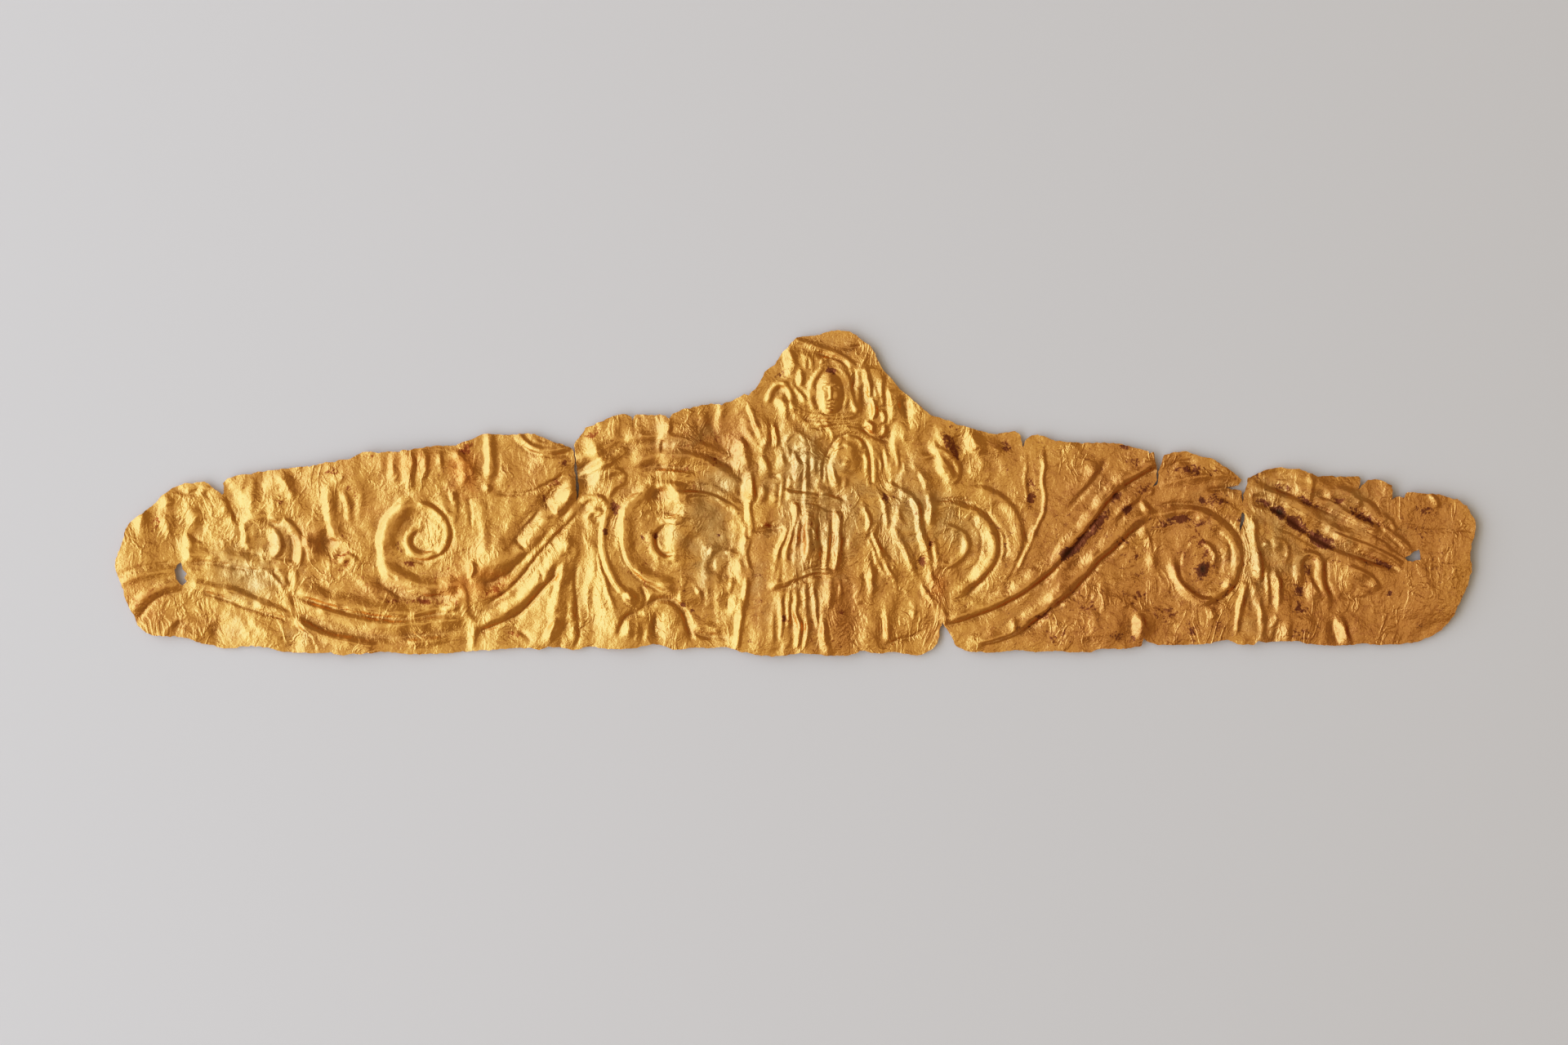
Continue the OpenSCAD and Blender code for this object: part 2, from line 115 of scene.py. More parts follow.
# Embossed ridges with a round back: (reach on the left or lower side, reach on the right or upper side, height,
# points along the crest)
RIDGES = [
    # left end: the stems past the tie hole, dots and leaves
    (7, 12, 3.4, [(226, 681), (245, 680), (270, 682), (295, 686), (320, 692), (350, 695)]),
    (7, 5, 2.6, [(149, 715), (166, 708), (184, 702), (214, 698)]),
    (8, 8, 3.4, [(162, 754), (171, 740), (181, 730), (200, 719), (217, 714)]),
    (8, 7, 3.8, [(234, 714), (262, 720), (282, 724), (310, 735), (335, 745), (358, 752)]),
    (3, 4, 1.4, [(202, 781), (206, 769), (216, 759), (229, 757), (241, 761), (250, 773)]),
    (12, 9, 4.4, [(228, 626), (238, 627), (242, 635), (238, 644)]),
    (9, 9, 4.2, [(203, 629), (207, 640), (208, 650), (215, 653)]),
    (10, 5, 2.6, [(232, 652), (236, 668), (234, 688)]),
    (6, 4, 2.4, [(246, 604), (254, 599), (261, 603)]),
    (7, 7, 3.2, [(296, 637), (315, 634), (330, 632), (347, 633)]),
    (6, 6, 2.8, [(300, 637), (301, 652), (303, 667), (311, 668)]),
    (12, 5, 4.4, [(334, 648), (343, 657), (345, 668), (340, 679), (331, 686)]),
    (8, 4, 3.6, [(347, 636), (359, 643), (367, 656), (370, 674), (368, 692)]),
    (8, 4, 3.0, [(362, 696), (364, 712), (361, 728)]),
    (11, 4, 3.4, [(352, 726), (357, 736), (359, 748)]),
    # leaf and eye-shaped boss before the first scroll
    (8, 10, 4.4, [(403, 596), (403, 610), (405, 630), (409, 648), (414, 660)]),
    (6, 5, 2.8, [(421, 603), (427, 618), (429, 639)]),
    (8, 5, 2.0, [(441, 594), (443, 614), (442, 634)]),
    (6, 5, 3.0, [(417, 690), (425, 684), (433, 683), (439, 689)]),
    # the two stems that run to the joint
    (7, 14, 4.6, [(364, 724), (382, 729), (400, 734), (420, 740), (440, 745), (470, 749), (500, 751)]),
    (7, 7, 3.4, [(503, 755), (510, 752), (522, 748), (545, 744), (560, 739), (567, 729)]),
    (12, 6, 4.2, [(372, 739), (390, 744), (420, 752), (450, 760), (480, 764), (510, 764), (540, 760), (566, 755)]),
    (8, 6, 3.8, [(365, 757), (376, 766), (392, 776), (412, 783), (432, 787), (462, 792)]),
    # first scroll
    (9, 17, 6.2, [(470, 682), (469, 662), (473, 647), (480, 634), (491, 623), (507, 615)]),
    (11, 13, 5.4, [(470, 682), (475, 695), (486, 706), (502, 714), (523, 719), (545, 717), (563, 710)]),
    (8, 5, 4.0, [(512, 617), (530, 623), (543, 635), (549, 652), (546, 668), (537, 679)]),
    (6, 5, 3.4, [(511, 647), (503, 653), (500, 664), (505, 675), (518, 681), (536, 678)]),
    (8, 5, 3.0, [(562, 712), (569, 726), (571, 742), (572, 757)]),
    (6, 5, 2.4, [(573, 752), (581, 764), (580, 780), (577, 795)]),
    # small winged figure left of the stems
    (9, 5, 3.6, [(556, 552), (567, 562), (570, 578), (567, 592)]),
    (8, 8, 4.8, [(601, 531), (602, 550), (602, 568), (600, 587)]),
    (7, 4, 2.2, [(558, 600), (559, 620), (557, 641)]),
    (8, 6, 2.4, [(591, 612), (593, 640), (594, 660), (592, 680)]),
    (9, 4, 4.2, [(636, 530), (643, 541), (656, 548), (676, 551), (698, 547)]),
    (5, 3, 1.8, [(650, 533), (658, 541), (672, 545), (690, 546)]),
    # stems A and B
    (13, 13, 5.4, [(590, 703), (605, 697), (619, 689), (633, 678), (645, 666), (655, 654), (664, 641), (674, 629)]),
    (17, 11, 6.4, [(672, 632), (682, 623), (694, 609), (706, 597)]),
    (8, 4, 1.6, [(597, 734), (618, 720), (636, 702), (648, 687), (661, 672), (683, 649), (706, 623)]),
    (12, 8, 5.0, [(582, 768), (600, 760), (622, 749), (640, 736), (655, 719), (669, 702), (685, 680), (699, 657)]),
    # right of the crack: the thin arm that ends in a drop, and the second scroll
    (6, 5, 3.2, [(747, 622), (742, 634), (739, 648), (738, 662), (740, 680), (745, 695), (753, 710), (763, 723),
                 (773, 735)]),
    (7, 13, 4.8, [(799, 596), (786, 604), (774, 613), (766, 626), (763, 641), (763, 661), (768, 680), (778, 696),
                 (793, 707), (810, 715), (832, 725)]),
    (8, 4, 3.2, [(838, 636), (820, 638), (806, 645), (800, 656), (800, 668), (805, 678), (817, 684), (832, 683)]),
    (6, 3, 1.6, [(812, 616), (826, 614), (838, 613)]),
    (11, 7, 3.8, [(708, 566), (724, 559), (741, 550), (760, 541)]),
    (7, 4, 3.0, [(709, 583), (727, 576), (742, 569), (758, 559), (768, 550)]),
    (6, 4, 3.2, [(711, 617), (722, 610), (735, 611), (744, 619)]), (6, 4, 3.0, [(716, 636), (727, 627), (739, 630)]),
    (6, 4, 2.8, [(745, 582), (757, 577), (766, 583), (762, 592), (752, 599), (745, 611)]), (11, 4, 5.2, [(803, 598), (818, 594), (838, 595)]),
    (6, 6, 2.4, [(795, 592), (808, 586), (825, 584), (850, 586), (870, 590)]),
    (13, 7, 3.8, [(776, 564), (800, 560), (822, 558), (842, 559), (860, 564), (880, 574), (900, 588), (915, 601)]),
    (7, 5, 2.4, [(738, 545), (765, 539), (795, 536), (820, 537), (845, 542)]), (7, 5, 1.4, [(838, 541), (860, 546), (885, 557), (908, 570)]),
    (5, 3, 2.6, [(838, 607), (860, 605), (878, 609), (895, 618), (906, 628)]),
    # veil, hair and collar of the standing figure
    (5, 5, 2.6, [(973, 417), (987, 421), (1005, 427), (1020, 432), (1035, 440), (1045, 451), (1050, 463)]),
    (5, 5, 3.2, [(941, 492), (944, 480), (951, 471), (960, 471), (967, 480), (970, 495), (976, 512)]),
    (5, 4, 3.0, [(1003, 457), (996, 466), (992, 478), (993, 491), (999, 502)]),
    (4, 3, 2.4, [(1008, 450), (1000, 459), (996, 471), (997, 486)]),
    (5, 4, 3.2, [(1024, 449), (1033, 456), (1039, 468), (1042, 482), (1046, 495), (1052, 505)]),
    (4, 3, 2.6, [(1021, 454), (1030, 461), (1035, 473), (1037, 487), (1034, 499)]),
    (4, 3, 2.2, [(1018, 441), (1030, 446), (1038, 455)]), (3, 3, 1.6, [(986, 476), (990, 486), (996, 496)]),
    (4, 3, 2.2, [(1047, 451), (1056, 455), (1064, 452), (1073, 454)]),
    (4, 3, 2.6, [(976, 500), (987, 507), (1003, 509), (1020, 511), (1036, 510), (1049, 507)]),
    (3, 2, 1.4, [(1000, 523), (1012, 519), (1026, 517), (1040, 518)]),
    (3, 3, 2.0, [(962, 541), (970, 533), (978, 531), (988, 540), (998, 538), (1007, 534)]),
    (3, 3, 2.0, [(975, 549), (985, 546), (996, 549), (1004, 544)]), (3, 3, 1.6, [(980, 540), (990, 544), (1000, 541)]),
    (5, 3, 3.0, [(961, 602), (980, 605), (1000, 605)]), (5, 3, 3.0, [(1004, 605), (1018, 608), (1033, 614)]),
    (4, 3, 1.8, [(964, 611), (982, 612), (999, 613)]),
    # hem of the overfold
    (4, 4, 2.8, [(944, 719), (955, 713), (968, 709), (980, 703), (995, 700), (1010, 699), (1020, 701)]),
    # bud and third scroll
    (5, 4, 3.2, [(1148, 546), (1156, 553), (1167, 561), (1174, 572), (1174, 584), (1166, 593)]), (9, 5, 3.4, [(1140, 541), (1148, 551), (1155, 566), (1164, 580), (1166, 592)]),
    (5, 5, 2.8, [(1130, 561), (1142, 557), (1154, 555)]),
    (9, 6, 4.2, [(1139, 641), (1140, 629), (1147, 621), (1161, 619), (1178, 622), (1194, 628), (1206, 638),
                  (1213, 650), (1218, 664), (1217, 678), (1211, 692), (1199, 706), (1186, 717), (1173, 725)]),
    (7, 4, 3.2, [(1152, 650), (1162, 646), (1172, 648), (1180, 654), (1185, 664), (1184, 674), (1177, 684),
                 (1165, 691), (1152, 693)]),
    (11, 5, 3.0, [(1190, 596), (1203, 598), (1216, 604), (1230, 613), (1241, 627), (1248, 643), (1250, 660),
                  (1246, 676), (1239, 690)]),
    # stems C and D
    (12, 7, 4.8, [(1158, 758), (1180, 752), (1200, 745), (1222, 737), (1243, 727), (1262, 713), (1280, 698),
                  (1295, 684), (1312, 664), (1330, 643), (1345, 624), (1358, 607), (1370, 594)]),
    (10, 7, 4.2, [(1364, 597), (1380, 587), (1397, 577), (1415, 565)]),
    (12, 9, 5.0, [(1196, 788), (1215, 782), (1240, 772), (1262, 758), (1283, 743), (1300, 727), (1315, 711),
                  (1330, 696), (1341, 684), (1353, 672), (1366, 660), (1380, 646), (1393, 635), (1406, 630)]),
    # fourth scroll
    (6, 6, 3.0, [(1404, 632), (1425, 628), (1446, 625), (1467, 628), (1485, 636), (1499, 647), (1509, 661),
                  (1515, 679), (1514, 696), (1508, 711), (1497, 723), (1483, 731)]),
    (9, 4, 5.2, [(1487, 734), (1472, 734), (1459, 728), (1447, 717), (1440, 706), (1437, 690)]), (4, 3, 2.2, [(1486, 640), (1498, 652), (1505, 664)]),
    (4, 3, 2.0, [(1506, 662), (1512, 680), (1511, 698)]), (4, 3, 2.0, [(1513, 704), (1504, 716), (1490, 726)]),
    (5, 5, 2.0, [(1420, 592), (1440, 588), (1465, 584), (1490, 582), (1513, 586)]),
    # right end: the stems that run down to the tie hole
    (9, 13, 4.8, [(1528, 597), (1548, 602), (1565, 609), (1583, 618), (1600, 628), (1618, 640), (1636, 651),
                  (1655, 661), (1676, 671), (1698, 682), (1718, 694)]),
    (9, 8, 3.2, [(1546, 585), (1567, 589), (1583, 594), (1600, 602)]),
    (8, 8, 3.2, [(1612, 611), (1630, 621), (1650, 633), (1668, 642), (1687, 650)]),
    (7, 8, 2.8, [(1636, 600), (1657, 609), (1673, 619), (1686, 631), (1697, 641)]),
    (6, 5, 3.0, [(1692, 649), (1705, 656), (1717, 663), (1727, 673)]),
    (3, 4, 2.0, [(1690, 640), (1695, 635), (1701, 641), (1707, 652)]),
    (4, 3, 1.6, [(1556, 603), (1590, 614), (1626, 632), (1662, 650), (1700, 668)]),
    (3, 3, 1.4, [(1600, 611), (1640, 629), (1680, 651), (1712, 670)]), (3, 3, 1.4, [(1540, 607), (1570, 617), (1606, 637), (1646, 655)]),
    (9, 4, 4.2, [(1592, 712), (1590, 698), (1593, 685), (1602, 679), (1612, 682), (1617, 692), (1617, 706),
                 (1621, 722), (1628, 738)]),
    (3, 3, 1.8, [(1558, 660), (1571, 664), (1577, 675), (1572, 688)]),
    (9, 4, 3.2, [(1650, 694), (1668, 701), (1681, 711), (1689, 724)]), (4, 5, 2.0, [(1638, 706), (1655, 716), (1677, 726)]),
]

# Domes: (x, y, half length, half width, turned by degrees, height)
DOMES = [
    (207, 616, 12, 10, 0, 4.4), (277, 624, 5, 7, 0, 1.8), (342, 697, 9, 8, 20, 3.0), (350, 715, 8, 7, 60, 2.8),
    (376, 664, 10, 11, 0, 2.8), (400, 674, 19, 15, 0, -8.0), (580, 697, 9, 11, 0, 3.4), (578, 577, 11, 13, 0, 3.0),
    (598, 598, 7, 6, 0, 3.0), (631, 580, 4, 4, 0, -1.4), (773, 732, 15, 11, 45, 7.0), (771, 770, 10, 15, 0, 3.4),
    (731, 584, 3, 3, 0, -1.6), (758, 584, 4, 3, 0, -1.8), (892, 677, 8, 6, 0, 2.4), (871, 677, 5, 8, 0, 2.0),
    (863, 673, 7, 5, 0, 1.6), (916, 661, 6, 5, 0, 2.2), (958, 493, 11, 15, 0, 3.2),
    (1006, 443, 4, 5, 20, 2.6), (1012, 439, 4, 5, 5, 2.6), (1018, 439, 4, 5, -10, 2.6), (1024, 443, 4, 5, -30, 2.4),
    (984, 534, 4, 4, 0, 2.0), (958, 494, 11, 13, -20, 4.0), (953, 489, 5, 5, 0, 1.2), (962, 498, 5, 6, 0, 1.2), (1050, 489, 7, 16, 0, 3.4),
    (987, 519, 3, 4, 0, 1.8),
    (1037, 567, 29, 38, 0, 6.0), (1033, 561, 12, 10, 0, -3.0), (1038, 569, 6, 5, 0, 2.2), (1001, 611, 4, 4, 0, -2.8),
    (973, 624, 7, 9, 0, 3.4), (985, 616, 5, 4, 0, 1.8), (1154, 575, 10, 18, -32, 3.6),
    (1190, 577, 5, 6, 0, 1.6), (1201, 601, 8, 8, 0, 1.6), (1327, 625, 5, 4, 0, 0.8), (1363, 592, 6, 5, -30, 1.4),
    (1377, 592, 6, 5, -30, 1.4), (1410, 602, 4, 8, 35, 2.2), (1377, 741, 5, 4, 0, 1.8), (1553, 668, 4, 7, -20, 2.4),
    (1605, 693, 8, 14, 0, -3.0), (1759, 659, 13, 7, 12, -2.4), (1757, 700, 17, 7, 4, -2.2), (1550, 667, 5, 4, 0, 2.6), (1562, 669, 10, 12, 0, 2.0), (1268, 579, 3, 3, 0, 1.2),
    (1303, 741, 6, 6, 0, 1.4), (1277, 733, 7, 6, -30, 1.6), (1240, 713, 4, 4, 0, 1.0),
]

# Straight-sided folds of the foil: (reach on the left or lower side, reach on the other side, height, points).
# A negative height is a valley.
FOLDS = [
    # left end
    (14, 7, 2.2, [(276, 603), (281, 620), (287, 640), (292, 666)]), (20, 6, 2.4, [(308, 582), (312, 600), (312, 620), (307, 631)]),
    (16, 7, 2.6, [(243, 733), (249, 752), (254, 772), (260, 793)]), (2.5, 2.5, 1.3, [(229, 700), (246, 701), (263, 703)]), (2.5, 2.5, 1.3, [(231, 706), (250, 707)]), (3, 3, 1.8, [(219, 676), (227, 672), (234, 678), (233, 688)]), (4, 3, 1.8, [(327, 683), (345, 686), (364, 693)]), (4, 3, 2.0, [(326, 696), (339, 709), (352, 724)]), (3, 3, 1.6, [(345, 700), (352, 711), (357, 722)]), (3, 3, 1.4, [(316, 672), (323, 679), (330, 690)]),
    (10, 10, 2.2, [(181, 625), (176, 640), (180, 655)]), (12, 10, 1.6, [(326, 582), (335, 590), (344, 592)]),
    (8, 14, 3.8, [(338, 577), (350, 592), (361, 606), (371, 618)]), (7, 9, 3.2, [(369, 622), (379, 634), (387, 646), (393, 657)]), (7, 5, 2.6, [(300, 641), (303, 655), (302, 667)]), (7, 6, 2.8, [(363, 752), (373, 767), (384, 781), (399, 800)]),
    (12, 8, 1.6, [(300, 755), (322, 768), (345, 792)]), (10, 10, 1.2, [(272, 742), (298, 765), (316, 790)]),
    # upper left field
    (14, 7, 2.4, [(446, 556), (448, 575), (444, 602)]), (10, 7, 2.8, [(465, 554), (466, 572), (462, 596)]),
    (9, 6, 2.4, [(482, 553), (484, 574), (481, 600)]), (13, 6, 2.8, [(505, 550), (506, 572), (504, 594), (502, 608)]), (9, 5, 2.0, [(521, 549), (522, 572), (519, 600)]),
    (5, 3, 2.0, [(551, 601), (556, 607), (553, 614)]), (8, 6, 1.8, [(424, 564), (421, 582), (413, 594)]), (6, 4, 1.6, [(538, 548), (540, 566), (536, 590)]), (10, 8, 1.4, [(540, 600), (545, 618), (554, 640), (558, 668)]),
    (3, 3, 1.2, [(533, 640), (540, 655), (536, 668)]), (8, 6, 3.4, [(491, 790), (510, 788), (530, 785), (552, 780)]), (4, 4, 2.4, [(577, 686), (581, 697), (576, 706), (585, 711)]),
    (3, 3, 1.2, [(593, 686), (612, 677), (628, 661), (640, 644), (653, 627), (665, 614)]),
    (10, 10, 1.4, [(620, 612), (626, 632), (620, 656)]), (9, 8, 1.6, [(432, 700), (445, 716), (462, 728)]),
    # fold C and the pleats right of it
    (9, 14, 5.6, [(703, 626), (698, 650), (695, 670), (690, 690), (688, 705), (685, 725), (682, 740), (679, 756),
                  (675, 775), (671, 794)]),
    (3, 3, 1.4, [(708, 627), (714, 643), (722, 653)]), (3, 3, 1.4, [(739, 632), (731, 640), (722, 652)]),
    (13, 5, 1.3, [(721, 655), (727, 680), (727, 705), (722, 740), (720, 792)]),
    (10, 4, 0.9, [(729, 690), (735, 715), (740, 745), (741, 793)]), (8, 4, 0.8, [(734, 690), (743, 720), (753, 748), (760, 780)]),
    (4, 3, 1.4, [(731, 665), (734, 695), (744, 722), (757, 752)]), (12, 5, 3.0, [(711, 637), (724, 635), (738, 624), (743, 612)]),
    (8, 8, 2.2, [(700, 705), (701, 740), (701, 792)]), (3, 3, 1.2, [(756, 633), (755, 652), (757, 672), (763, 688), (774, 704)]),
    (22, 44, 3.4, [(838, 612), (838, 640), (838, 702)]), (12, 4, 2.6, [(838, 604), (838, 630), (837, 668)]), (8, 14, -3.2, [(801, 745), (801, 765), (800, 787)]),
    (12, 14, 2.4, [(820, 745), (828, 762), (834, 790)]),
    (13, 3, 4.8, [(820, 510), (820, 524), (816, 537)]), (3, 14, -3.2, [(812, 540), (812, 550), (813, 558)]),
    (4, 3, 1.4, [(788, 580), (810, 578), (830, 579), (850, 582)]), (14, 10, 2.2, [(752, 512), (756, 526), (748, 545)]),
    (10, 8, 2.2, [(730, 522), (727, 540), (734, 560)]), (12, 10, 0.8, [(776, 516), (781, 532), (795, 548)]),
    # facets between the second scroll and the standing figure
    (9, 10, 3.0, [(887, 495), (884, 512), (889, 530)]), (22, 5, 6.0, [(905, 534), (912, 550), (922, 575)]), (4, 7, 2.4, [(913, 490), (921, 508), (927, 522), (932, 542)]),
    (10, 8, 1.8, [(862, 500), (864, 520), (872, 540)]), (9, 6, 1.6, [(904, 500), (914, 522), (923, 545)]),
    (15, 3, 5.4, [(921, 577), (922, 595), (924, 615)]), (12, 6, 3.0, [(835, 628), (836, 650), (836, 690)]), (8, 4, 2.8, [(921, 608), (917, 622), (920, 640), (918, 662)]), (6, 3, 2.6, [(919, 660), (917, 680), (918, 715)]),
    (4, 3, 1.8, [(912, 640), (914, 670), (912, 700)]), (8, 5, 3.4, [(912, 702), (911, 735), (908, 765), (903, 797)]),
    (3, 3, 1.4, [(830, 607), (850, 606), (873, 611), (900, 626)]), (6, 5, 2.6, [(876, 680), (878, 690), (877, 702)]),
    (7, 6, 2.8, [(893, 702), (895, 715), (893, 728)]), (8, 5, 3.0, [(898, 730), (900, 742), (897, 756)]),
    (6, 5, 2.2, [(906, 668), (908, 690), (906, 712)]), (10, 8, 1.8, [(884, 655), (886, 668), (882, 680)]),
    (9, 9, 1.8, [(862, 690), (866, 715), (870, 745)]), (4, 4, 2.2, [(844, 707), (834, 724), (832, 742)]),
    (4, 4, 2.4, [(844, 707), (852, 720), (859, 735)]), (3, 3, 1.4, [(838, 704), (846, 722), (846, 740)]),
    (14, 7, 2.8, [(842, 748), (858, 764), (878, 769), (896, 768)]), (8, 4, 2.2, [(904, 693), (909, 712), (912, 730), (910, 760)]),
    (12, 8, 1.8, [(944, 724), (934, 740), (928, 756)]), (12, 10, 1.6, [(930, 752), (932, 775), (930, 800)]),
    # beside the standing figure: wing, ribbons, hair
    (7, 4, 4.2, [(946, 514), (950, 530), (953, 549)]), (6, 4, 3.0, [(955, 549), (959, 562), (960, 578)]),
    (8, 5, 3.0, [(952, 585), (952, 602), (947, 622), (936, 640)]), (5, 3, 2.4, [(961, 580), (960, 600), (954, 622), (942, 640), (928, 650)]),
    (10, 4, 3.0, [(936, 560), (940, 572), (943, 584)]), (10, 6, 2.0, [(930, 505), (938, 520), (938, 545), (934, 565)]),
    (8, 6, 2.4, [(938, 590), (937, 604), (930, 618)]),
    (10, 5, 3.6, [(968, 426), (972, 442), (971, 462)]), (4, 3, 2.6, [(980, 430), (985, 440), (984, 452)]),
    (4, 3, 2.6, [(986, 432), (991, 442), (991, 454)]), (7, 4, 4.0, [(980, 449), (983, 460), (981, 474)]),
    (4, 4, 2.6, [(970, 466), (976, 477), (983, 490), (992, 499)]), (4, 4, 2.4, [(975, 500), (982, 511), (988, 516)]),
    (7, 4, 4.4, [(1059, 453), (1064, 463), (1064, 476), (1061, 489)]), (5, 4, 3.6, [(1064, 487), (1069, 499), (1068, 513)]),
    (7, 4, 4.4, [(1076, 456), (1081, 470), (1080, 486), (1079, 500)]), (5, 4, 3.2, [(1077, 500), (1081, 510), (1079, 522)]),
    (4, 3, 1.8, [(1070, 470), (1072, 485), (1071, 500)]),
    (6, 5, 2.8, [(1086, 466), (1090, 485), (1092, 503), (1087, 523)]), (14, 10, -2.6, [(1107, 484), (1109, 505), (1106, 522)]),
    (4, 3, 1.4, [(1094, 476), (1098, 495), (1099, 515)]), (8, 6, 2.0, [(1060, 432), (1058, 445), (1052, 456)]),
    (8, 4, 3.4, [(1060, 514), (1068, 522), (1070, 533)]), (7, 5, 2.8, [(1080, 522), (1084, 529), (1083, 537)]),
    (10, 4, 4.0, [(971, 552), (977, 564), (982, 574), (981, 586)]), (4, 3, 2.2, [(964, 545), (968, 556), (968, 568)]),
    (4, 4, 3.0, [(1013, 513), (1017, 524), (1021, 537)]), (3, 3, 1.6, [(1006, 520), (1008, 530), (1006, 538)]),
    (5, 4, 2.8, [(1017, 546), (1012, 552), (1006, 562)]), (5, 4, 2.2, [(1034, 537), (1028, 543), (1022, 548)]),
    (4, 4, 2.2, [(996, 556), (998, 574), (997, 590)]), (3, 3, 1.8, [(1005, 566), (1004, 584), (1002, 600)]),
    (4, 4, 1.8, [(968, 586), (972, 594), (978, 600)]), (3, 3, 1.6, [(986, 560), (989, 574), (988, 590)]),
    (6, 4, 3.6, [(1016, 566), (1018, 576), (1024, 586), (1032, 594)]),
    (5, 4, 3.0, [(1062, 553), (1064, 568), (1062, 588)]), (5, 4, 2.8, [(1036, 582), (1038, 590), (1034, 600)]),
    (4, 3, 1.6, [(1050, 536), (1057, 542), (1061, 551)]), (3, 3, 1.4, [(1023, 556), (1029, 549), (1040, 546), (1050, 551)]),
    (4, 3, 1.8, [(1084, 545), (1087, 560), (1085, 580)]), (4, 3, 1.4, [(1077, 552), (1079, 566), (1077, 584)]),
    (4, 3, 2.2, [(1096, 540), (1100, 556), (1100, 580)]), (3, 3, 1.4, [(1107, 560), (1109, 580), (1111, 600)]),
    (7, 12, 2.2, [(1046, 590), (1048, 610), (1046, 640)]),
    # overfold
    (5, 3, 2.6, [(967, 640), (959, 664), (951, 690), (946, 714)]), (6, 3, 3.0, [(975, 626), (971, 650), (966, 674), (962, 698)]),
    (4, 3, 3.4, [(971, 612), (976, 622), (977, 634)]), (3, 3, 1.6, [(957, 684), (954, 700), (952, 714)]), (5, 4, 2.6, [(980, 630), (977, 655), (975, 680), (972, 702)]),
    (5, 9, 3.4, [(987, 624), (988, 650), (987, 680), (985, 698)]), (9, 4, 3.6, [(1029, 622), (1028, 650), (1026, 675), (1021, 698)]), (5, 4, 2.6, [(1016, 630), (1014, 655), (1011, 680), (1008, 698)]), (5, 4, 1.8, [(1000, 640), (999, 665), (998, 698)]),
    (4, 3, 1.4, [(1041, 640), (1040, 668), (1040, 696)]), (4, 3, 1.2, [(1050, 630), (1051, 660), (1052, 695)]), (4, 3, 1.6, [(1036, 704), (1042, 710), (1048, 711)]),
    (4, 4, 1.6, [(1012, 640), (1009, 665), (1008, 695)]), (6, 6, 2.2, [(1040, 702), (1050, 712), (1058, 718)]),
    # skirt
    (5, 3, 2.8, [(957, 721), (957, 745), (956, 790)]), (5, 3, 2.6, [(966, 719), (966, 750), (965, 796)]),
    (6, 4, 3.2, [(976, 715), (975, 745), (977, 765), (975, 799)]), (5, 4, 2.8, [(987, 711), (987, 750), (985, 799)]),
    (5, 4, 3.0, [(998, 705), (999, 730), (999, 752), (1003, 772)]), (9, 6, 4.0, [(1007, 754), (1011, 772), (1014, 801)]),
    (7, 5, 2.8, [(1016, 703), (1016, 725), (1014, 745)]), (3, 3, 1.6, [(1028, 704), (1029, 718), (1028, 735)]),
    (14, 8, 3.2, [(1068, 733), (1070, 760), (1069, 793)]), (6, 7, 3.6, [(1083, 727), (1087, 750), (1087, 784)]),
    (5, 6, 3.4, [(1105, 721), (1115, 733), (1121, 745), (1119, 760)]), (10, 10, 2.0, [(1050, 702), (1053, 720), (1052, 745)]),
    (9, 9, 1.6, [(944, 745), (946, 770), (944, 800)]),
    # cloak that falls on the right
    (4, 5, 2.8, [(1074, 596), (1081, 612), (1084, 630), (1089, 650)]),
    (6, 3, 3.4, [(1058, 612), (1061, 626), (1063, 640), (1062, 660)]), (5, 4, 4.0, [(1066, 640), (1073, 660), (1083, 686), (1094, 716)]),
    (4, 3, 2.6, [(1062, 652), (1070, 672), (1079, 694), (1088, 714)]), (6, 5, 3.0, [(1061, 676), (1067, 694), (1068, 716), (1068, 735)]),
    (3, 3, 1.8, [(1078, 664), (1087, 686), (1098, 710)]), (4, 3, 1.8, [(1104, 652), (1112, 672), (1121, 692)]), (4, 3, 1.8, [(1099, 610), (1102, 630), (1107, 648)]), (6, 7, 3.6, [(1093, 640), (1101, 660), (1110, 682), (1119, 700), (1127, 716)]),
    (7, 6, 4.6, [(1083, 590), (1100, 600), (1113, 609), (1122, 620), (1124, 635), (1126, 650), (1131, 665),
                 (1135, 682), (1141, 698), (1149, 718)]),
    (5, 20, 4.2, [(1105, 521), (1112, 542), (1118, 560), (1126, 580), (1134, 601)]), (5, 7, 3.6, [(1134, 600), (1139, 618), (1139, 640)]),
    (5, 5, 2.6, [(1126, 711), (1137, 728), (1146, 742)]), (10, 10, 2.0, [(1111, 630), (1113, 655), (1118, 672)]),
    (5, 5, 2.4, [(1141, 655), (1146, 680), (1152, 705)]), (12, 3, 3.6, [(1152, 742), (1158, 752), (1157, 764)]),
    (8, 8, 1.8, [(1092, 725), (1094, 745), (1090, 770)]), (9, 7, 2.0, [(1127, 728), (1132, 745), (1126, 762)]),
    # right field
    (15, 18, 3.2, [(1117, 496), (1129, 510), (1139, 527)]), (18, 14, 3.6, [(1184, 528), (1199, 547), (1206, 568), (1208, 588)]),
    (3, 3, 1.4, [(1240, 692), (1234, 702), (1226, 712)]), (4, 3, 1.5, [(1253, 552), (1255, 580), (1255, 603), (1257, 628), (1259, 646)]),
    (3, 3, 1.7, [(1278, 546), (1277, 578), (1277, 600), (1278, 615), (1275, 635), (1268, 653), (1259, 671),
                 (1248, 692), (1238, 708)]),
    (5, 8, 2.2, [(1258, 772), (1259, 785), (1258, 798)]), (6, 6, 1.8, [(1292, 758), (1293, 772), (1288, 785)]),
    (5, 5, 1.6, [(1240, 758), (1241, 767), (1238, 775)]), (14, 12, 2.0, [(1318, 560), (1334, 575), (1342, 592)]),
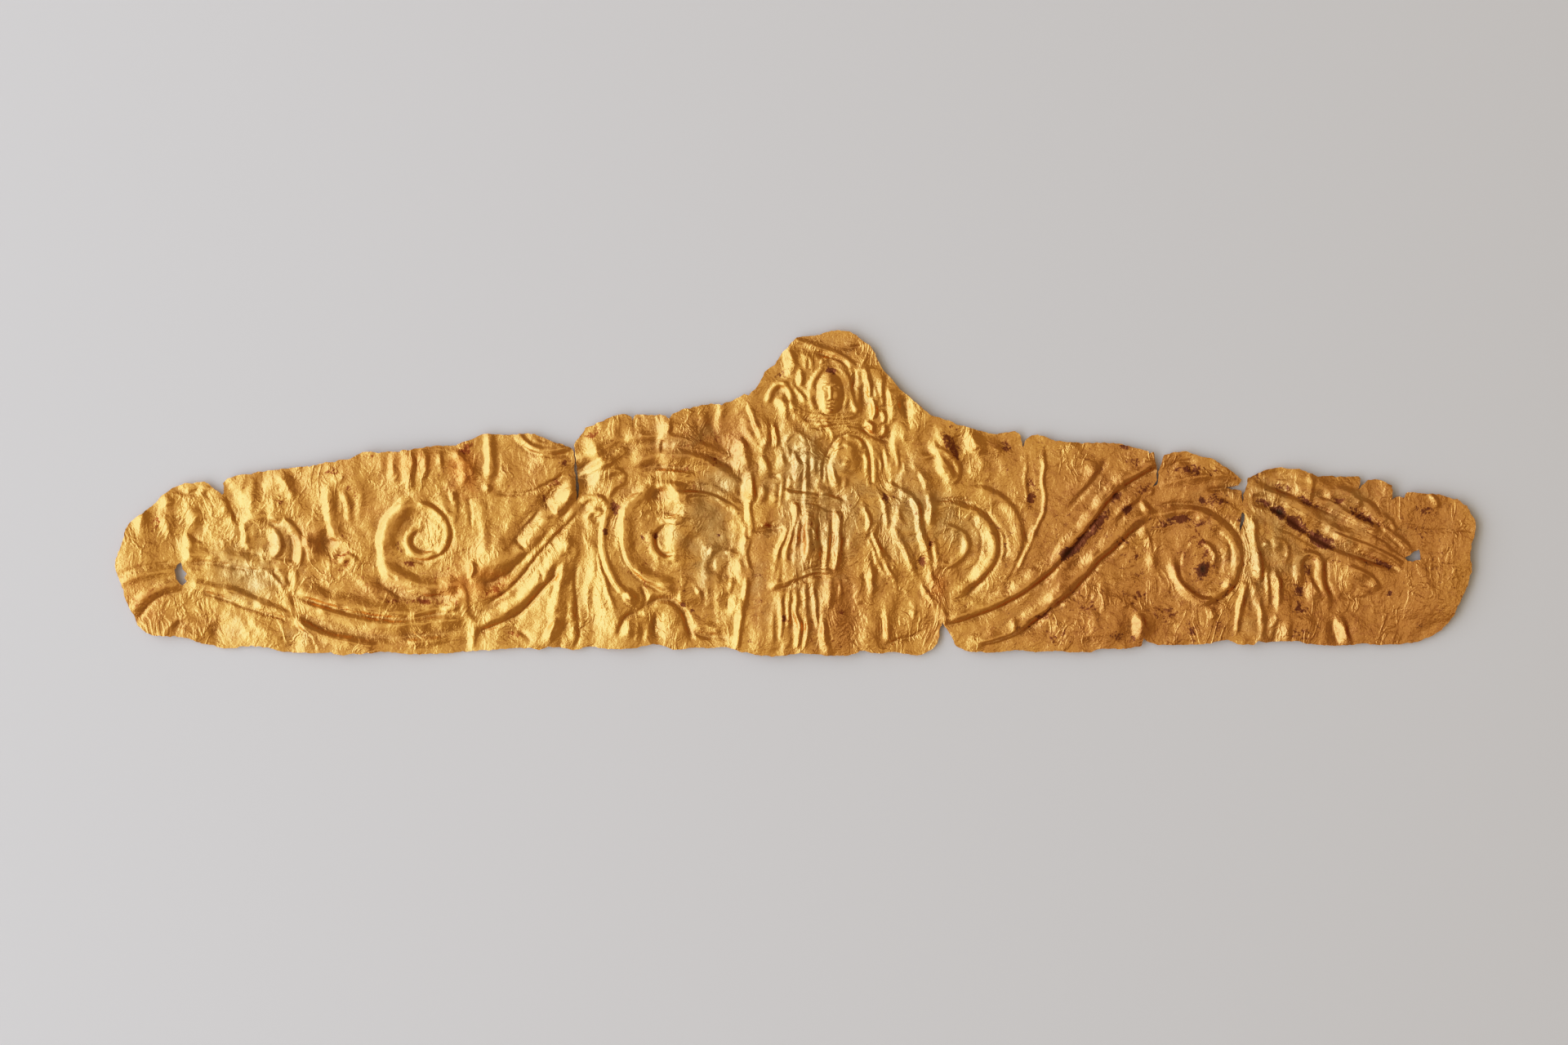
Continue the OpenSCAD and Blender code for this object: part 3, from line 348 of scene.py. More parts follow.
    (8, 6, 1.4, [(1310, 546), (1322, 551)]), (12, 12, 1.6, [(1215, 535), (1222, 552), (1218, 575)]),
    (6, 4, 2.2, [(1356, 641), (1368, 631), (1382, 618), (1399, 605)]), (8, 5, 2.4, [(1398, 612), (1406, 621), (1412, 628)]),
    (4, 3, 2.6, [(1378, 755), (1380, 770), (1379, 783)]), (15, 4, 4.4, [(1398, 750), (1401, 766), (1401, 784)]),
    (2, 2, 0.9, [(1352, 731), (1366, 730), (1378, 738)]), (4, 3, 2.0, [(1490, 611), (1506, 620), (1521, 628)]),
    (10, 8, 2.0, [(1398, 642), (1408, 660), (1413, 685), (1412, 710)]), (5, 4, 1.8, [(1408, 742), (1425, 750), (1440, 763), (1448, 775)]), (4, 3, 2.2, [(1470, 664), (1480, 672), (1487, 684), (1486, 696)]),
    (5, 5, 1.8, [(1481, 744), (1483, 760)]), (9, 8, 1.6, [(1344, 700), (1352, 720), (1350, 742)]),
    (10, 8, 1.4, [(1330, 742), (1340, 760), (1338, 790)]), (4, 3, 0.5, [(1450, 700), (1447, 688), (1451, 674), (1460, 666)]),
    # small draped figure right of the fourth scroll
    (9, 5, 4.8, [(1530, 628), (1537, 648), (1540, 672), (1542, 697), (1542, 714)]),
    (6, 6, 4.0, [(1526, 713), (1521, 733), (1515, 757), (1511, 782)]), (6, 6, 3.4, [(1535, 713), (1538, 733), (1541, 752), (1543, 772)]),
    (3, 3, 2.2, [(1550, 694), (1551, 720), (1554, 750)]), (9, 5, 4.6, [(1556, 694), (1562, 712), (1567, 735), (1567, 750)]),
    (9, 6, 4.2, [(1567, 751), (1557, 768), (1550, 789)]), (9, 4, 3.6, [(1578, 752), (1577, 768), (1574, 787)]),
    (5, 4, 2.6, [(1547, 755), (1544, 770), (1541, 787)]), (8, 9, 2.2, [(1544, 652), (1548, 668), (1545, 690)]),
    (16, 4, 5.2, [(1591, 688), (1600, 706), (1611, 724), (1622, 744)]), (10, 3, 3.4, [(1608, 579), (1607, 595), (1604, 612)]),
    (13, 3, 4.6, [(1640, 747), (1646, 768), (1654, 791)]), (14, 3, -2.4, [(1633, 752), (1635, 770), (1636, 790)]),
    (9, 6, 2.6, [(1722, 685), (1738, 696), (1748, 710), (1753, 731)]), (5, 3, 2.0, [(1749, 604), (1756, 613), (1761, 623)]),
    (8, 4, 2.4, [(1660, 604), (1661, 612), (1660, 620)]), (10, 8, 1.8, [(1626, 596), (1629, 607), (1626, 618)]),
    (12, 14, 1.6, [(1690, 590), (1700, 604), (1699, 620)]), (20, 24, 1.8, [(1722, 735), (1730, 755), (1728, 785)]),
    (9, 8, 1.4, [(1650, 738), (1680, 745), (1712, 740)]), (8, 9, 1.6, [(1600, 752), (1604, 768), (1602, 786)]),
]

# Grooves pressed beside the ridges: (half width, depth, points)
GROOVES = [
    (5, 3.0, [(213, 597), (222, 603), (232, 605), (241, 602), (247, 595)]), (3, 1.6, [(277, 605), (284, 622), (291, 640)]),
    (3, 1.4, [(148, 704), (165, 697), (180, 693), (215, 689)]), (3, 1.6, [(240, 723), (270, 731), (300, 743), (330, 753), (356, 758)]),
    (3, 1.4, [(170, 760), (183, 743), (200, 730), (220, 724), (236, 722)]), (3, 1.6, [(230, 690), (260, 690), (290, 695), (322, 700)]),
    (6, 1.6, [(210, 779), (217, 768), (229, 764), (240, 772)]), (3, 1.2, [(230, 650), (245, 662), (270, 665), (296, 665)]),
    (5, 1.6, [(326, 640), (338, 641), (346, 642)]), (6, 1.8, [(328, 650), (331, 663), (327, 676)]), (4, 1.6, [(354, 650), (359, 666), (358, 690)]),
    (3, 1.6, [(401, 663), (416, 664), (433, 661)]), (3, 1.4, [(412, 685), (420, 677), (432, 676), (442, 683)]),
    (6, 1.7, [(366, 730), (385, 736), (402, 742), (420, 748), (442, 754), (470, 757), (500, 758), (540, 754), (573, 750)]),
    (7, 2.2, [(362, 751), (380, 759), (400, 768), (420, 774), (445, 778), (470, 781), (500, 781), (540, 777), (572, 768)]),
    (3, 1.6, [(362, 768), (378, 776), (386, 788), (390, 799)]),
    (6, 1.9, [(455, 701), (469, 716), (490, 729), (520, 733), (548, 729)]),
    (3, 1.8, [(523, 612), (540, 624), (551, 640), (555, 655), (550, 671), (536, 683), (516, 688), (503, 685)]),
    (3, 1.4, [(513, 651), (507, 659), (508, 668), (518, 674), (530, 673)]), (3, 1.6, [(476, 702), (488, 710)]),
    (3, 1.4, [(574, 608), (578, 628), (580, 650)]), (3, 1.6, [(635, 545), (652, 555), (674, 559), (697, 556)]),
    (2.5, 2.2, [(606, 604), (625, 606), (645, 604), (661, 598), (677, 590), (691, 581)]),
    (4, 1.0, [(592, 717), (615, 706), (632, 692), (647, 679), (665, 662), (684, 641), (706, 617)]),
    (2.5, 1.6, [(599, 739), (621, 725), (639, 707), (651, 692), (663, 677), (684, 655), (707, 630)]),
    (3, 2.2, [(585, 774), (608, 766), (633, 755), (649, 740), (662, 726), (673, 713), (686, 700)]),
    (5, 2.2, [(667, 610), (675, 623), (683, 634)]), (5, 2.2, [(629, 655), (639, 667), (649, 677)]), (3, 1.6, [(661, 696), (665, 706), (662, 715)]),
    (5, 2.2, [(624, 776), (633, 772), (645, 778), (652, 789)]), (2.5, 1.4, [(705, 695), (705, 720), (708, 745), (709, 778), (703, 794)]),
    (2.5, 1.6, [(735, 645), (733, 660), (734, 680), (739, 697), (747, 713), (758, 727)]),
    (2.5, 1.4, [(759, 635), (758, 655), (761, 675), (768, 691), (780, 706), (797, 718), (815, 727)]),
    (3, 2.0, [(807, 650), (804, 660), (807, 671), (815, 678), (826, 678)]), (3, 1.4, [(790, 640), (792, 632), (802, 627), (838, 628)]),
    (4, 2.6, [(783, 716), (790, 726), (790, 740), (781, 748), (770, 747)]),
    (6, 3.6, [(787, 748), (796, 738), (810, 733), (825, 737), (837, 750), (844, 768), (849, 788)]),
    (5, 2.8, [(758, 781), (760, 767), (768, 755), (780, 751), (790, 756)]), (5, 1.8, [(786, 760), (788, 775), (786, 792)]),
    (5, 1.0, [(737, 552), (748, 548), (760, 546), (785, 548)]), (5, 1.3, [(783, 572), (800, 573), (825, 573), (850, 576)]),
    (5, 1.0, [(847, 551), (870, 558), (895, 570), (917, 584)]), (4, 1.2, [(830, 584), (855, 586), (873, 591), (885, 598), (900, 607), (909, 616)]),
    (3, 1.6, [(828, 601), (847, 601), (863, 603), (880, 608), (898, 617)]), (1.8, 1.0, [(911, 614), (911, 642)]),
    (5, 2.4, [(838, 752), (848, 770), (862, 778), (880, 779), (894, 782)]), (4, 0.8, [(830, 532), (850, 536), (872, 543)]),
    (4, 2.6, [(922, 652), (935, 648), (950, 647), (960, 644)]), (3, 2.0, [(943, 583), (956, 582)]),
    (3, 2.0, [(1028, 425), (1045, 425), (1059, 423)]), (3, 1.8, [(996, 431), (1013, 436), (1028, 441), (1038, 448)]),
    (3, 2.4, [(1042, 448), (1047, 458), (1047, 470), (1043, 480)]), (2, 1.6, [(976, 506), (986, 513), (1000, 515), (1020, 516), (1042, 515), (1052, 512)]),
    (3, 2.2, [(991, 522), (1006, 525), (1022, 522), (1040, 520), (1053, 523), (1064, 530), (1078, 538), (1092, 540)]),
    (2, 1.4, [(1018, 596), (1013, 580), (1014, 564), (1022, 551), (1036, 544)]), (2.5, 2.0, [(1008, 592), (1008, 572), (1013, 553), (1025, 539), (1041, 532), (1056, 537), (1065, 551), (1067, 575), (1067, 594)]),
    (3, 2.4, [(965, 601), (985, 603), (1003, 605), (1018, 606), (1036, 611)]), (3, 2.2, [(965, 614), (985, 616), (1000, 618), (1015, 624), (1037, 627)]),
    (2.5, 2.0, [(974, 706), (985, 700), (997, 697), (1012, 696)]), (2.5, 1.8, [(946, 725), (962, 719), (982, 709), (1000, 705), (1018, 706)]),
    (3, 1.6, [(1058, 700), (1058, 712)]), (4, 2.0, [(1078, 794), (1100, 784), (1117, 780), (1131, 770)]),
    (2.5, 1.6, [(1146, 614), (1168, 612), (1187, 616), (1201, 622), (1213, 634), (1222, 650), (1225, 668), (1222, 686),
                (1213, 700), (1200, 716), (1184, 730), (1167, 735)]),
    (2, 1.2, [(1190, 638), (1199, 652), (1202, 668), (1198, 686), (1187, 700)]), (2, 1.2, [(1218, 640), (1230, 655), (1232, 672), (1228, 690)]),
    (3, 2.0, [(1158, 765), (1180, 760), (1202, 753), (1222, 745), (1243, 735), (1263, 721), (1282, 706), (1296, 692),
              (1314, 671), (1333, 649), (1349, 629), (1362, 611), (1374, 598)]),
    (5, 2.0, [(1300, 629), (1318, 612), (1335, 593), (1348, 574), (1357, 560)]), (2, 1.2, [(1370, 585), (1371, 600)]),
    (3, 2.0, [(1374, 600), (1392, 588), (1408, 578), (1417, 572)]),
    (4, 2.4, [(1200, 791), (1222, 786), (1242, 778), (1268, 763), (1292, 743), (1310, 728), (1325, 714), (1339, 699),
              (1350, 686), (1362, 675), (1376, 662), (1390, 651), (1402, 645)]),
    (2.5, 1.8, [(1420, 619), (1440, 616), (1465, 619), (1484, 625), (1502, 637), (1515, 652), (1523, 670), (1523, 690),
                (1518, 708), (1509, 722), (1495, 735), (1480, 740)]),
    (1.8, 1.2, [(1499, 656), (1506, 672), (1507, 692)]), (2.5, 0.8, [(1449, 713), (1444, 698), (1445, 682), (1452, 668), (1462, 660)]),
    (2.5, 0.9, [(1478, 662), (1490, 672), (1495, 686), (1492, 702), (1482, 716), (1468, 722)]),
    (3, 2.0, [(1476, 600), (1498, 599), (1517, 597)]), (3, 1.4, [(1426, 576), (1440, 567), (1460, 565)]),
    (2.5, 1.4, [(1405, 646), (1410, 660), (1413, 682)]), (5, 1.8, [(1385, 742), (1392, 738)]),
    (5, 2.4, [(1532, 613), (1550, 618), (1567, 627), (1585, 639), (1605, 655), (1625, 667), (1650, 676), (1675, 685), (1700, 694), (1715, 700)]),
    (2, 1.6, [(1532, 606), (1558, 613), (1592, 630), (1630, 649), (1680, 667), (1718, 687)]),
    (2, 1.4, [(1548, 594), (1584, 607), (1622, 625), (1660, 643), (1705, 668)]), (2, 1.4, [(1610, 604), (1650, 622), (1684, 645), (1715, 668)]),
    (3, 1.8, [(1556, 597), (1576, 604), (1592, 612), (1606, 619)]), (3, 1.8, [(1640, 620), (1660, 627), (1675, 635), (1692, 648)]),
    (3, 1.6, [(1655, 606), (1672, 611), (1690, 622)]), (3, 1.8, [(1623, 684), (1624, 700), (1626, 715), (1633, 732)]),
    (3, 1.6, [(1640, 726), (1655, 733), (1674, 733)]), (3, 1.4, [(1560, 645), (1580, 652), (1600, 664), (1615, 672)]),
    (2, 1.0, [(1725, 645), (1750, 650), (1775, 650), (1800, 650)]), (2, 0.9, [(1735, 668), (1755, 675), (1785, 676)]),
    (2, 0.9, [(1742, 690), (1770, 692), (1797, 690)]),
]

# Patches that lie at a tilt: (x, y, half length, half width, turned by degrees, tilt). A positive tilt rises to the right.
FACETS = [
    (260, 601, 9, 7, 0, 0.28), (168, 640, 13, 8, -45, 0.25), (318, 720, 26, 10, 35, 0.14), (300, 772, 45, 18, 0, 0.10),
    (185, 672, 22, 14, 0, -0.06), (522, 650, 14, 20, 0, 0.16), (610, 718, 26, 10, -32, -0.10), (612, 588, 8, 14, 0, 0.16),
    (690, 607, 16, 9, -42, 0.14), (665, 760, 18, 24, -60, 0.08), (780, 553, 14, 7, 25, 0.12), (811, 765, 12, 24, 0, 0.14),
    (725, 575, 20, 10, -20, 0.18), (740, 525, 20, 12, 0, 0.10), (868, 632, 28, 22, 0, -0.10), (932, 700, 14, 50, 0, -0.07),
    (850, 530, 20, 22, 0, -0.06), (962, 440, 8, 12, 0, 0.18), (1030, 416, 40, 12, 0, 0.04), (1116, 508, 16, 26, 0, -0.10),
    (1165, 546, 10, 28, -25, -0.22), (1190, 554, 12, 22, -20, 0.12), (1152, 722, 12, 26, 0, -0.20),
    (1158, 632, 20, 10, 0, -0.08), (1034, 755, 17, 42, 0, -0.14), (1261, 656, 7, 6, 0, 0.22), (1300, 600, 30, 40, 0, 0.05),
    (1288, 706, 16, 10, -35, 0.12), (1312, 716, 12, 16, -45, -0.10), (1415, 765, 16, 14, 0, -0.14), (1535, 641, 8, 10, 0, 0.16),
    (1545, 605, 14, 8, 15, 0.14), (1607, 642, 8, 10, 30, 0.10), (1622, 651, 7, 10, 30, 0.12),
    (1740, 640, 40, 24, 10, -0.05), (1700, 770, 60, 20, 0, -0.04), (1630, 770, 8, 20, 0, -0.12), (1580, 630, 12, 8, 30, 0.08),
    (700, 775, 8, 20, 0, 0.10), (750, 770, 8, 22, 0, 0.10), (1485, 592, 8, 6, 0, 0.16), (1332, 575, 10, 8, 0, 0.18),
    (1485, 770, 30, 16, 0, -0.05), (560, 560, 14, 12, 0, 0.06), (945, 738, 14, 14, 0, 0.10), (820, 607, 20, 8, 0, 0.20),
    (905, 560, 14, 14, 30, 0.22), (915, 596, 8, 18, 0, 0.22), (885, 742, 12, 20, 0, 0.12), (898, 745, 8, 12, 0, 0.20),
    (225, 665, 9, 14, 0, 0.22), (292, 610, 12, 26, 0, 0.14), (336, 586, 16, 7, 0, 0.20), (300, 652, 9, 16, 0, 0.16),
    (963, 444, 10, 16, 0, 0.22), (982, 438, 6, 10, 0, 0.22), (1280, 728, 12, 14, -20, 0.22), (1331, 686, 12, 10, -30, 0.20),
    (1390, 770, 9, 14, 0, 0.24), (1203, 600, 10, 9, 0, 0.20), (1632, 655, 20, 7, 28, 0.20), (1535, 641, 9, 10, 0, 0.16),
    (1188, 540, 14, 16, 0, 0.14), (1304, 743, 8, 7, 0, 0.22), (585, 700, 9, 12, 0, 0.16), (650, 772, 26, 20, -20, 0.12),
    (725, 588, 14, 9, -25, 0.22), (756, 550, 12, 8, -20, 0.22), (1640, 620, 26, 9, 30, 0.12), (1580, 588, 22, 8, 12, 0.12),
    (1440, 706, 8, 20, -30, 0.16), (1094, 590, 8, 34, 0, -0.06), (440, 768, 40, 6, 10, 0.05), (590, 790, 26, 10, 0, 0.12),
    (190, 690, 50, 90, 0, -0.06), (237, 760, 12, 30, 0, -0.14), (275, 745, 24, 40, 0, 0.07), (311, 640, 8, 22, 0, 0.12),
    (341, 680, 9, 16, 0, 0.12), (371, 652, 8, 16, 0, 0.16), (392, 668, 13, 13, 0, -0.60), (420, 640, 14, 40, 0, -0.05),
    (350, 598, 14, 26, 0, -0.10), (459, 650, 9, 60, 0, -0.10), (524, 652, 24, 32, 0, 0.10), (617, 655, 36, 34, 0, -0.09),
    (592, 715, 12, 20, 0, -0.24), (588, 765, 9, 26, 0, -0.12), (546, 745, 16, 22, 0, 0.06), (636, 562, 44, 12, 0, 0.06),
    (690, 606, 22, 12, -35, 0.20), (737, 742, 30, 52, 0, 0.15), (722, 580, 18, 64, 0, 0.12), (815, 560, 12, 20, 0, 0.12),
    (820, 650, 18, 46, 0, 0.15), (860, 525, 36, 28, 0, -0.11), (897, 690, 13, 40, 0, 0.10), (940, 642, 16, 62, 0, -0.15),
    (966, 652, 13, 52, 0, -0.12), (1041, 602, 9, 30, 0, -0.14), (1068, 502, 14, 34, 0, 0.14), (1154, 582, 12, 40, -10, 0.14),
    (1190, 614, 15, 12, 0, 0.12), (1205, 752, 52, 26, 0, -0.05), (1232, 692, 14, 26, 0, -0.10), (1288, 560, 36, 28, 0, -0.05),
    (1376, 580, 30, 20, -30, 0.06), (1389, 768, 9, 15, 0, 0.24), (1345, 745, 30, 34, 0, 0.06), (1480, 574, 32, 13, 10, 0.12),
    (1506, 685, 9, 34, 0, -0.08), (1575, 600, 44, 20, 15, 0.14), (1648, 648, 40, 14, 25, 0.12), (1655, 702, 40, 20, 10, 0.08),
    (1582, 762, 18, 26, 0, 0.10), (1600, 585, 16, 8, 0, 0.10), (780, 680, 60, 90, 0, 0.04), (250, 700, 90, 80, 0, -0.02), (1700, 740, 70, 24, 0, 0.05), (1770, 700, 18, 40, 0, 0.08),
    (1630, 690, 30, 14, 20, 0.08), (1560, 760, 20, 20, 0, 0.08), (1350, 600, 40, 14, -45, 0.07), (1310, 770, 60, 16, 0, 0.05),
    (722, 623, 9, 6, -20, 0.26), (735, 634, 8, 7, 0, 0.24), (719, 640, 6, 7, 0, 0.18), (725, 570, 16, 6, -20, 0.16),
    (899, 743, 9, 9, 0, 0.26), (868, 672, 9, 6, 0, 0.20), (890, 676, 8, 6, 0, 0.22), (914, 600, 9, 13, 0, 0.20),
    (831, 622, 8, 8, 0, 0.20), (373, 668, 7, 12, 0, 0.16), (368, 790, 10, 8, 0, 0.24), (393, 752, 8, 8, 0, 0.16),
    (1063, 484, 5, 14, 0, 0.16), (1075, 484, 5, 18, 0, 0.16), (976, 462, 6, 12, 0, 0.18), (973, 570, 7, 13, -20, 0.16),
    (820, 655, 15, 22, 0, 0.24), (809, 545, 9, 40, 0, 0.18), (818, 604, 20, 7, 0, 0.20), (727, 580, 20, 40, 0, 0.12),
    (730, 735, 28, 60, 0, 0.14), (694, 632, 8, 40, 0, 0.14), (655, 560, 26, 14, 0, 0.12), (612, 567, 13, 12, 0, 0.08),
    (508, 640, 8, 20, 0, 0.12), (545, 706, 18, 18, 0, 0.08), (305, 655, 8, 22, 0, 0.10), (343, 695, 9, 15, 0, 0.12),
    (258, 720, 9, 40, 0, 0.08), (590, 580, 9, 18, 0, 0.10), (1175, 610, 26, 20, 0, 0.10), (1320, 703, 12, 12, -45, 0.10),
    (1430, 588, 28, 18, 0, 0.10), (1590, 592, 44, 18, 10, 0.10), (1562, 765, 10, 24, 0, 0.12), (1598, 722, 9, 22, 20, 0.14),
    (1665, 645, 26, 16, 20, 0.10), (770, 730, 8, 7, 0, 0.20), (632, 655, 55, 13, -45, -0.20), (195, 660, 38, 50, 0, -0.08),
    (368, 612, 28, 24, 0, -0.10), (436, 600, 32, 20, 0, -0.06), (448, 675, 20, 28, 0, -0.09), (584, 780, 8, 20, 0, -0.16),
    (942, 530, 14, 40, 0, -0.10), (1106, 505, 9, 26, 0, -0.18), (1172, 722, 22, 36, 0, -0.14), (1255, 600, 14, 30, 0, -0.08),
    (868, 530, 34, 30, 0, -0.08), (480, 790, 40, 10, 0, -0.05),
    (250, 745, 16, 14, 0, 0.18), (250, 778, 16, 14, 0, -0.22), (405, 655, 22, 22, 0, -0.10), (470, 735, 30, 14, 0, -0.10),
    (930, 530, 14, 30, 0, -0.12), (945, 650, 16, 50, 0, -0.10), (1100, 495, 10, 26, 0, -0.08), (1150, 750, 30, 20, 0, -0.10),
    (1210, 690, 12, 24, 0, -0.10), (610, 570, 16, 14, 0, 0.10), (700, 590, 12, 30, 0, 0.14), (740, 565, 20, 26, 0, 0.12),
    (795, 700, 30, 30, 0, 0.08), (635, 775, 24, 20, 0, 0.08), (1625, 610, 30, 18, 0, 0.10), (1590, 640, 16, 14, 0, 0.10),
    (1610, 720, 12, 24, 20, 0.10), (1565, 760, 14, 30, 0, 0.12), (1390, 770, 16, 20, 0, 0.10), (1455, 580, 24, 18, 0, 0.10),
    (1260, 650, 8, 20, 0, 0.12),
    (1066, 524, 8, 7, 0, 0.24), (1081, 528, 6, 6, 0, 0.22), (958, 500, 9, 9, 0, 0.14), (1021, 582, 8, 10, -30, 0.14),
    (1000, 652, 9, 24, 0, -0.16), (1007, 785, 6, 16, 0, 0.18), (1056, 765, 10, 26, 0, 0.12), (282, 593, 6, 7, 0, 0.20),
    (300, 622, 12, 14, 0, 0.08), (935, 574, 7, 8, 0, 0.22), (1104, 604, 7, 6, 30, 0.20), (1136, 632, 5, 16, 0, 0.16),
]

# Slow swells and hollows of the ground: (x, y, reach along x, reach along y, height)
SWELLS = [
    (190, 700, 90, 120, 4.0), (300, 760, 110, 70, -2.0), (430, 620, 120, 80, 4.0), (560, 760, 140, 70, -3.0),
    (660, 600, 100, 90, 3.5), (780, 700, 90, 130, 6.0), (880, 560, 90, 90, -2.0), (1010, 640, 90, 200, 6.0),
    (1020, 440, 90, 60, -2.0), (1160, 620, 80, 120, -3.0), (1250, 700, 110, 120, 3.0), (1400, 640, 120, 110, -2.0),
    (1500, 720, 90, 110, 4.0), (1640, 620, 120, 80, -2.0), (1740, 700, 80, 130, 3.0),
]

# How strongly the foil is crumpled: (x, y, reach along x, reach along y, share)
CRUMPLED = [
    (330, 650, 70, 60, 0.3), (240, 640, 60, 50, 0.1), (180, 720, 40, 60, -0.4), (580, 600, 40, 50, 0.3),
    (650, 580, 40, 30, -0.4), (875, 700, 40, 60, 0.8), (932, 710, 16, 70, -0.9), (740, 535, 50, 34, 0.6), (735, 735, 30, 50, -0.3),
    (1030, 416, 50, 16, -0.6), (1000, 480, 80, 60, 0.6), (1000, 570, 50, 50, 0.6), (1010, 640, 60, 100, 0.3),
    (1034, 755, 20, 50, -0.8), (1052, 600, 14, 60, -0.6), (1190, 550, 30, 40, 0.8), (1152, 722, 14, 26, -0.6),
    (1540, 720, 50, 80, 0.3), (700, 770, 30, 40, 0.6), (1750, 690, 70, 120, -0.4),
]

# Thin upright pleats: (x, y, reach along x, reach along y, share)
PLEATED = [
    (985, 660, 40, 40, 0.9), (1040, 670, 30, 50, 0.7), (975, 760, 40, 40, 0.9), (1060, 760, 30, 40, 0.6),
    (1100, 640, 30, 60, 0.6), (1090, 565, 24, 30, 0.8), (985, 580, 24, 26, 0.8), (885, 720, 28, 50, 0.5),
    (915, 690, 10, 60, 0.6), (735, 750, 24, 50, 0.12), (700, 750, 14, 50, 0.25), (1540, 740, 30, 50, 0.7),
    (1034, 755, 16, 40, -0.6), (470, 580, 50, 26, 0.5), (990, 450, 20, 26, 0.5), (1078, 490, 26, 34, 0.6),
]

# The standing figure's head: its middle, half width, half length and height; then its calm, even features, told as
# bumps (x from the middle, y from the middle, half length, half width, height) on both sides, and strokes in the middle
HEAD = (1017, 482, 15.5, 25.0, 7.0)
FACE_PAIRS = [
    (6.2, -6.2, 5.4, 3.8, -1.9), (6.2, -5.8, 3.4, 2.0, 1.5), (6.6, -10.6, 5.4, 1.7, 1.1), (8.2, 3.4, 5.2, 7.0, 0.9),
    (2.6, 7.2, 1.6, 1.6, 0.9),
]
FACE_MIDDLE = [
    (0, -13, 9.0, 6.0, 0.6), (0, -1.5, 2.3, 8.5, 2.4), (0, 6.2, 2.7, 3.0, 1.6), (0, 9.6, 4.6, 1.3, -0.9),
    (0, 12.2, 4.8, 1.5, 1.2), (0, 14.0, 5.6, 1.1, -1.3), (0, 15.9, 4.0, 1.6, 1.2), (0, 18.6, 4.4, 1.4, -0.8),
    (0, 21.3, 5.0, 3.0, 1.4),
]

